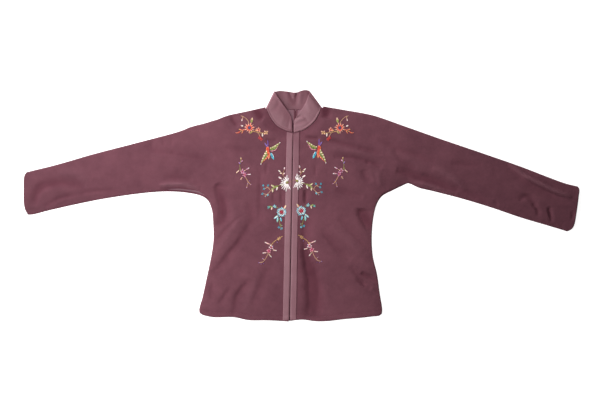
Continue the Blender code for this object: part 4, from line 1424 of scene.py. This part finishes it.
SPRAYS["daisy"] = (
    Stem("brown", ((-1, 1), (-6, 3), (-12, 3))),
    Stem("olive", ((8, -4), (20, -7), (32, -12))),
    Stem("tan", ((34, -13), (46, -24), (58, -36))),
    Stem("tan", ((44, -21), (50, -13), (55, -11))),
    Stem("brown", ((5, 10), (9, 17), (12, 22), (10, 29), (7, 36))),
    Stem("brown", ((12, 22), (15, 26), (18, 30))),
    Stem("tan", ((52, -12), (57, -15), (61, -16))),
    Stem("tan", ((53, -31), (58, -30), (64, -29))),
    Petal(24, -8, -22, 15, 6.4, "moss green olive", "moss"),
    Petal(42, -17, 152, 12, 4.6, "olive green", "moss"),
    Petal(34, -10, 28, 9, 4.4, "cream moss", "cream"),
    Petal(25, -11, -70, 9, 4.6, "cream white", "white"),
    Petal(37, -15, -82, 10, 4.2, "moss cream", "cream"),
    Petal(14, 10, 34, 10, 5.2, "pink white cream", "white"),
    Petal(10, 22, 130, 6, 3.4, "cream pink", "white"),
    Petal(7, 35, 95, 6, 3.8, "white pink", "white"),
    Petal(18, 29, 40, 6, 3.8, "white cream", "white"),
    Petal(14, 25, 10, 5, 3.2, "cream", "white"),
    *(
        Petal(*(DAISY_HEART * heading(np.radians(a))), a, length, DAISY_WIDTH, "white white", "white")
        for a, length in DAISY_PETALS
    ),
    Bloom(50, -7, 0.4, 3.5, 4, "teal", "turquoise", 30),
    Bloom(63, -7, 0.4, 3.4, 4, "turquoise", "teal", 0),
    Bloom(61, -16, 0.4, 3.4, 4, "teal", "turquoise", 50),
    Bloom(51, -32, 0.4, 3.5, 4, "turquoise", "sky", 20),
    Bloom(65, -29, 0.4, 3.5, 4, "teal", "turquoise", 60),
    Knots(0, 0.5, 2.5, "olive", 3.4, 7),
    Knots(-2.5, 1.5, 2.4, "moss"),
    Knots(57, -36, 2.0, "turquoise"),
)
SPRAYS["ring flower"] = (
    Stem("olive", ((9, 11), (18, 15), (26, 14), (34, 14))),
    Stem("olive", ((5, -22), (4, -31), (1, -41))),
    Stem("olive", ((4, -31), (0, -34), (-1, -36))),
    Petal(-6, 9, 122, 11, 4.8, "orange cream cream", "cream"),
    Petal(25, 13, 22, 9, 4.0, "green moss", "green"),
    Petal(25, 13, -72, 7, 3.6, "pink cream", "cream"),
    Petal(10, -9, -40, 13, 5.6, "turquoise white mint", "sky"),
    Petal(10, -13, -84, 14, 6.0, "mint white turquoise", "mint"),
    Petal(3, -14, -104, 11, 5.0, "turquoise sky", "turquoise"),
    Bloom(0, 0, 8.0, 13.8, 12, "turquoise", "sky", 0),
    Bloom(0, 0, 7.0, 12.4, 12, "white", "sky", 15),
    Bloom(0, 0, 5.0, 9.0, 10, "white", "white", 12),
    Bloom(18, 15, 0.8, 5.8, 5, "sky", "turquoise", 10),
    Bloom(34, 13, 0.6, 4.2, 4, "mint", "turquoise", 40),
    Bloom(7, -40, 0.6, 3.8, 4, "turquoise", "teal", 0),
    Bloom(0, -43, 0.6, 3.8, 4, "turquoise", "sky", 45),
    Knots(0, 0, 2.9, "crimson", 4.2, 9),
    Knots(18, 15, 1.8, "gold"),
    Knots(-1, -35, 2.2, "mint"),
)
SPRAYS["lower spray"] = (
    Stem("gold", ((-33, 34), (-24, 28), (-14, 22), (-6, 14), (-3, 5))),
    Stem("tan", ((3, -6), (7, -17), (13, -28), (19, -34), (28, -36))),
    Stem("tan", ((-5, 13), (3, 13), (12, 18))),
    Stem("tan", ((14, -29), (18, -27), (20, -25))),
    Petal(1, 13, 22, 14, 3.4, "cream pink", "white"),
    Petal(-8, -2, 192, 10, 2.8, "pink cream", "white"),
    Petal(9, -9, -8, 11, 2.8, "cream pink", "white"),
    Petal(3, -12, -126, 12, 2.8, "brown cream", "white"),
    Bloom(-24, 28, 1.2, 5.2, 4, "tan", "gold", 20),
    Bloom(-3, 5, 2.0, 7.0, 5, "pink", "white", 0),
    Bloom(3, -5, 2.0, 7.2, 5, "rose", "pink", 25),
    Knots(3, -5, 2.7, "magenta", 1.5, 4),
    Knots(-3, 5, 2.5, "magenta", 1.2, 3),
    Knots(-17, 27, 2.0, "purple"),
    Knots(-19, 18, 2.2, "lavender"),
    Knots(-8, 7, 2.2, "lavender"),
    Knots(19, -25, 2.2, "lavender"),
    Knots(29, -36, 2.4, "lavender"),
    Knots(17, -38, 2.2, "purple"),
    Knots(24, -39, 1.8, "lavender"),
)
Place = namedtuple("Place", "spray side outward up")
PLACES = (
    Place("blossom", "right", 115.6, 205.6),
    Place("blossom", "left", 123.2, 205.6),
    Place("butterfly", "right", 64.0, 139.4),
    Place("butterfly", "left", 67.6, 142.6),
    Place("mauve spray", "right", 128.4, 87.7),
    Place("mauve spray", "left", 126.0, 89.6),
    Place("daisy", "right", 13.4, 60.0),
    Place("daisy", "left", 12.8, 64.4),
    Place("ring flower", "right", 26.5, -17.5),
    Place("ring flower", "left", 25.4, -13.8),
    Place("lower spray", "right", 55.1, -115.0),
    Place("lower spray", "left", 51.9, -111.4),
)


def placed(place):
    """The stitches of a spray on its side of the jacket."""
    way = -1 if place.side == "right" else 1
    middle = np.array([middle_x(place.up), 0.0])
    origin = middle + np.array([way * place.outward, place.up])
    for part in SPRAYS[place.spray]:
        for stitch in MAKERS[type(part)](part):
            start = origin + np.array([way * stitch.x, stitch.y])
            turn = stitch.turn if way > 0 else np.pi - stitch.turn
            yield stitch._replace(x=start[0], y=start[1], turn=turn)


# %% [markdown]
# ## Sewing it all on
#
# The sprays are sewn through the fronts and, where a petal crosses it, the band. Each half is one piece,
# and so is the row of small stitches that holds the hem. The hem's row lies in its groove, 13 mm above the
# edge.

# %%
# Embroidery and hem stitches
HEM_STITCH, HEM_THREAD, HEM_SPACING = 2.4, (0.5, 0.45), 3.6
HEM_ROW_START, HEM_ROW_END = 12, 18


def hem_stitches(panel):
    loop = inset(panel.loop, HEM_DEPTH)
    loop = loop[(edge_kinds(panel.loop) == "open") & (panel.loop[:, 1] < HEM_ONLY)]
    loop = loop[np.argsort(loop[:, 0])]
    x = loop[:, 0]
    line = evenly(loop[(x > x[0] + HEM_ROW_START) & (x < x[-1] - HEM_ROW_END)], HEM_SPACING)
    for start, end in zip(line[:-1], line[1:]):
        yield Stitch(*start, turn_of(end - start), HEM_STITCH, *HEM_THREAD, 0.0, "plum", "plum")


for side in SIDES:
    front, band = pieces["front_" + side], pieces["band_" + side]
    sprays = [stitch for place in PLACES if place.side == side for stitch in placed(place)]
    rows = (
        ("embroidery_" + side, sprays, surface_of(front, band), 3),
        ("hem_stitches_" + side, list(hem_stitches(fronts[side])), surface_of(front), 5),
    )
    for name, stitches, on_cloth, seed in rows:
        pieces[name] = sewn(name, stitches, on_cloth, seed)
        print(name, len(stitches), "stitches,", len(pieces[name].data.polygons), "faces")
bpy.data.objects.remove(thread)

# %% [markdown]
# ## Attaching the pieces
#
# Every piece rides on the jacket's one body. A shell stands for its imported solid, which then isn't shown.
# A table lists each sheet of cloth with its slot, the width and length that it was cut to, its area and the
# pieces it rests on.

# %%
# Rides on the body, and a table of the cuts
Cut = namedtuple("Cut", "slot width length area rests_on")
CUTS = {
    "back_right": Cut("plum_cloth", 0.720, 0.567, 0.191, ()),
    "back_left": Cut("plum_cloth", 0.765, 0.570, 0.199, ()),
    "front_right": Cut("plum_cloth", 0.712, 0.568, 0.183, ("back_right",)),
    "front_left": Cut("plum_cloth", 0.765, 0.569, 0.197, ("back_left",)),
    "collar": Cut("mauve_satin", 0.340, 0.047, 0.0144, ("back_right", "back_left")),
    "band_right": Cut("mauve_satin", 0.0155, 0.500, None, ("front_right",)),
    "band_left": Cut("mauve_satin", 0.0155, 0.500, None, ("front_left",)),
}
for name, piece in pieces.items():
    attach(piece, "root")
    CUTS[name].slot if name in CUTS else "mauve_satin"
for name in CUTS:
    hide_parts(name)
for name, cut in CUTS.items():
    side = name.split("_")[-1]
    under = [pieces[other].name for other in cut.rests_on]
print(len(pieces), "pieces ride on the jacket")

# %% [markdown]
# ## Table, camera and light
#
# The jacket is seen from straight above, as laid out for a catalogue. A long lens from high up keeps the
# sleeves from looking larger at their ends. Two lamps stand low, at the right sleeve and beyond the collar,
# so their light rakes over the creases and falls off along the left sleeve. A weak one above fills the
# middle. The pale table glows enough to lose its shadows.

# %%
# Floor, camera and lamps
VIEW_WIDTH = 1.5875
VIEW_CENTRE = (-0.0045, -0.0112)
CAMERA_HEIGHT = 3.4
CLOTH_MIDDLE = 0.006
SENSOR = 36.0
TABLE_HALF, TABLE_DEPTH = 14.0, -0.0006
LAMP_SIZE = 0.5
LAMPS = {
    "left lamp": ((-2.4, -0.6, 1.1), 33.5, (0.98, 1.0, 1.0)),
    "top lamp": ((-0.8, 2.3, 1.15), 51.0, (1.0, 0.97, 0.98)),
    "high lamp": ((-0.35, -0.06, 0.92), 4.9, (1.0, 0.9, 0.92)),
}
WORLD_LIGHT = 0.03
WHITE = (1.0, 1.0, 1.0, 1.0)


def lay_table():
    mesh = bpy.data.meshes.new("table")
    signs = ((-1, -1), (1, -1), (1, 1), (-1, 1))
    mesh.from_pydata([(x * TABLE_HALF, y * TABLE_HALF, TABLE_DEPTH) for x, y in signs], [], [(0, 1, 2, 3)])
    material, tree, shader = new_material(
        "white_table", Roughness=0.9, Emission_Strength=0.95, Emission_Color=WHITE
    )
    where = add_node(tree, "ShaderNodeTexCoord").outputs["Object"]
    mixed = add_node(tree, "ShaderNodeMix", data_type="RGBA")
    mixed.inputs[6].default_value = (0.86, 0.86, 0.86, 1)
    mixed.inputs[7].default_value = (0.9, 0.9, 0.9, 1)
    tree.links.new(noise_at(tree, where, 30.0), mixed.inputs[0])
    tree.links.new(mixed.outputs[2], shader.inputs["Base Color"])
    mesh.materials.append(material)
    in_scene("table", mesh)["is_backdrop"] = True


def lamp(name, place, power, tint):
    """A round soft lamp that looks at the middle of the table."""
    light = bpy.data.lights.new(name, "AREA")
    light.shape = "DISK"
    light.size = LAMP_SIZE
    light.energy = power
    light.color = tint
    made = in_scene(name, light)
    made.location = place
    made.rotation_euler = (-Vector(place)).to_track_quat("-Z", "Y").to_euler()


lay_table()
camera = bpy.data.cameras.new("camera")
camera.sensor_width = SENSOR
camera.lens = SENSOR * (CAMERA_HEIGHT - CLOTH_MIDDLE) / VIEW_WIDTH
camera_object = in_scene("camera", camera)
camera_object.location = (*VIEW_CENTRE, CAMERA_HEIGHT)
bpy.context.scene.camera = camera_object
for name, settings in LAMPS.items():
    lamp(name, *settings)
world = bpy.data.worlds.new("studio")
world.use_nodes = True
background = world.node_tree.nodes["Background"].inputs
background["Color"].default_value = WHITE
background["Strength"].default_value = WORLD_LIGHT
bpy.context.scene.world = world
bpy.context.scene.view_settings.view_transform = "Standard"
print("camera lens:", round(camera.lens, 1), "mm")

# %% [markdown]
# ## The size
#
# Both boxes, the imported model's and the dressed jacket's, are printed in millimetres. The dressed jacket
# has to stay in the imported model's box, apart from a little that cloth may stand proud.

# %%
# Boxes
boxes = {"cad": [list(corner) for corner in cad_box], "visual": [list(corner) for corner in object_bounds()]}
print({name: [[round(v * 1000, 1) for v in corner] for corner in box] for name, box in boxes.items()})
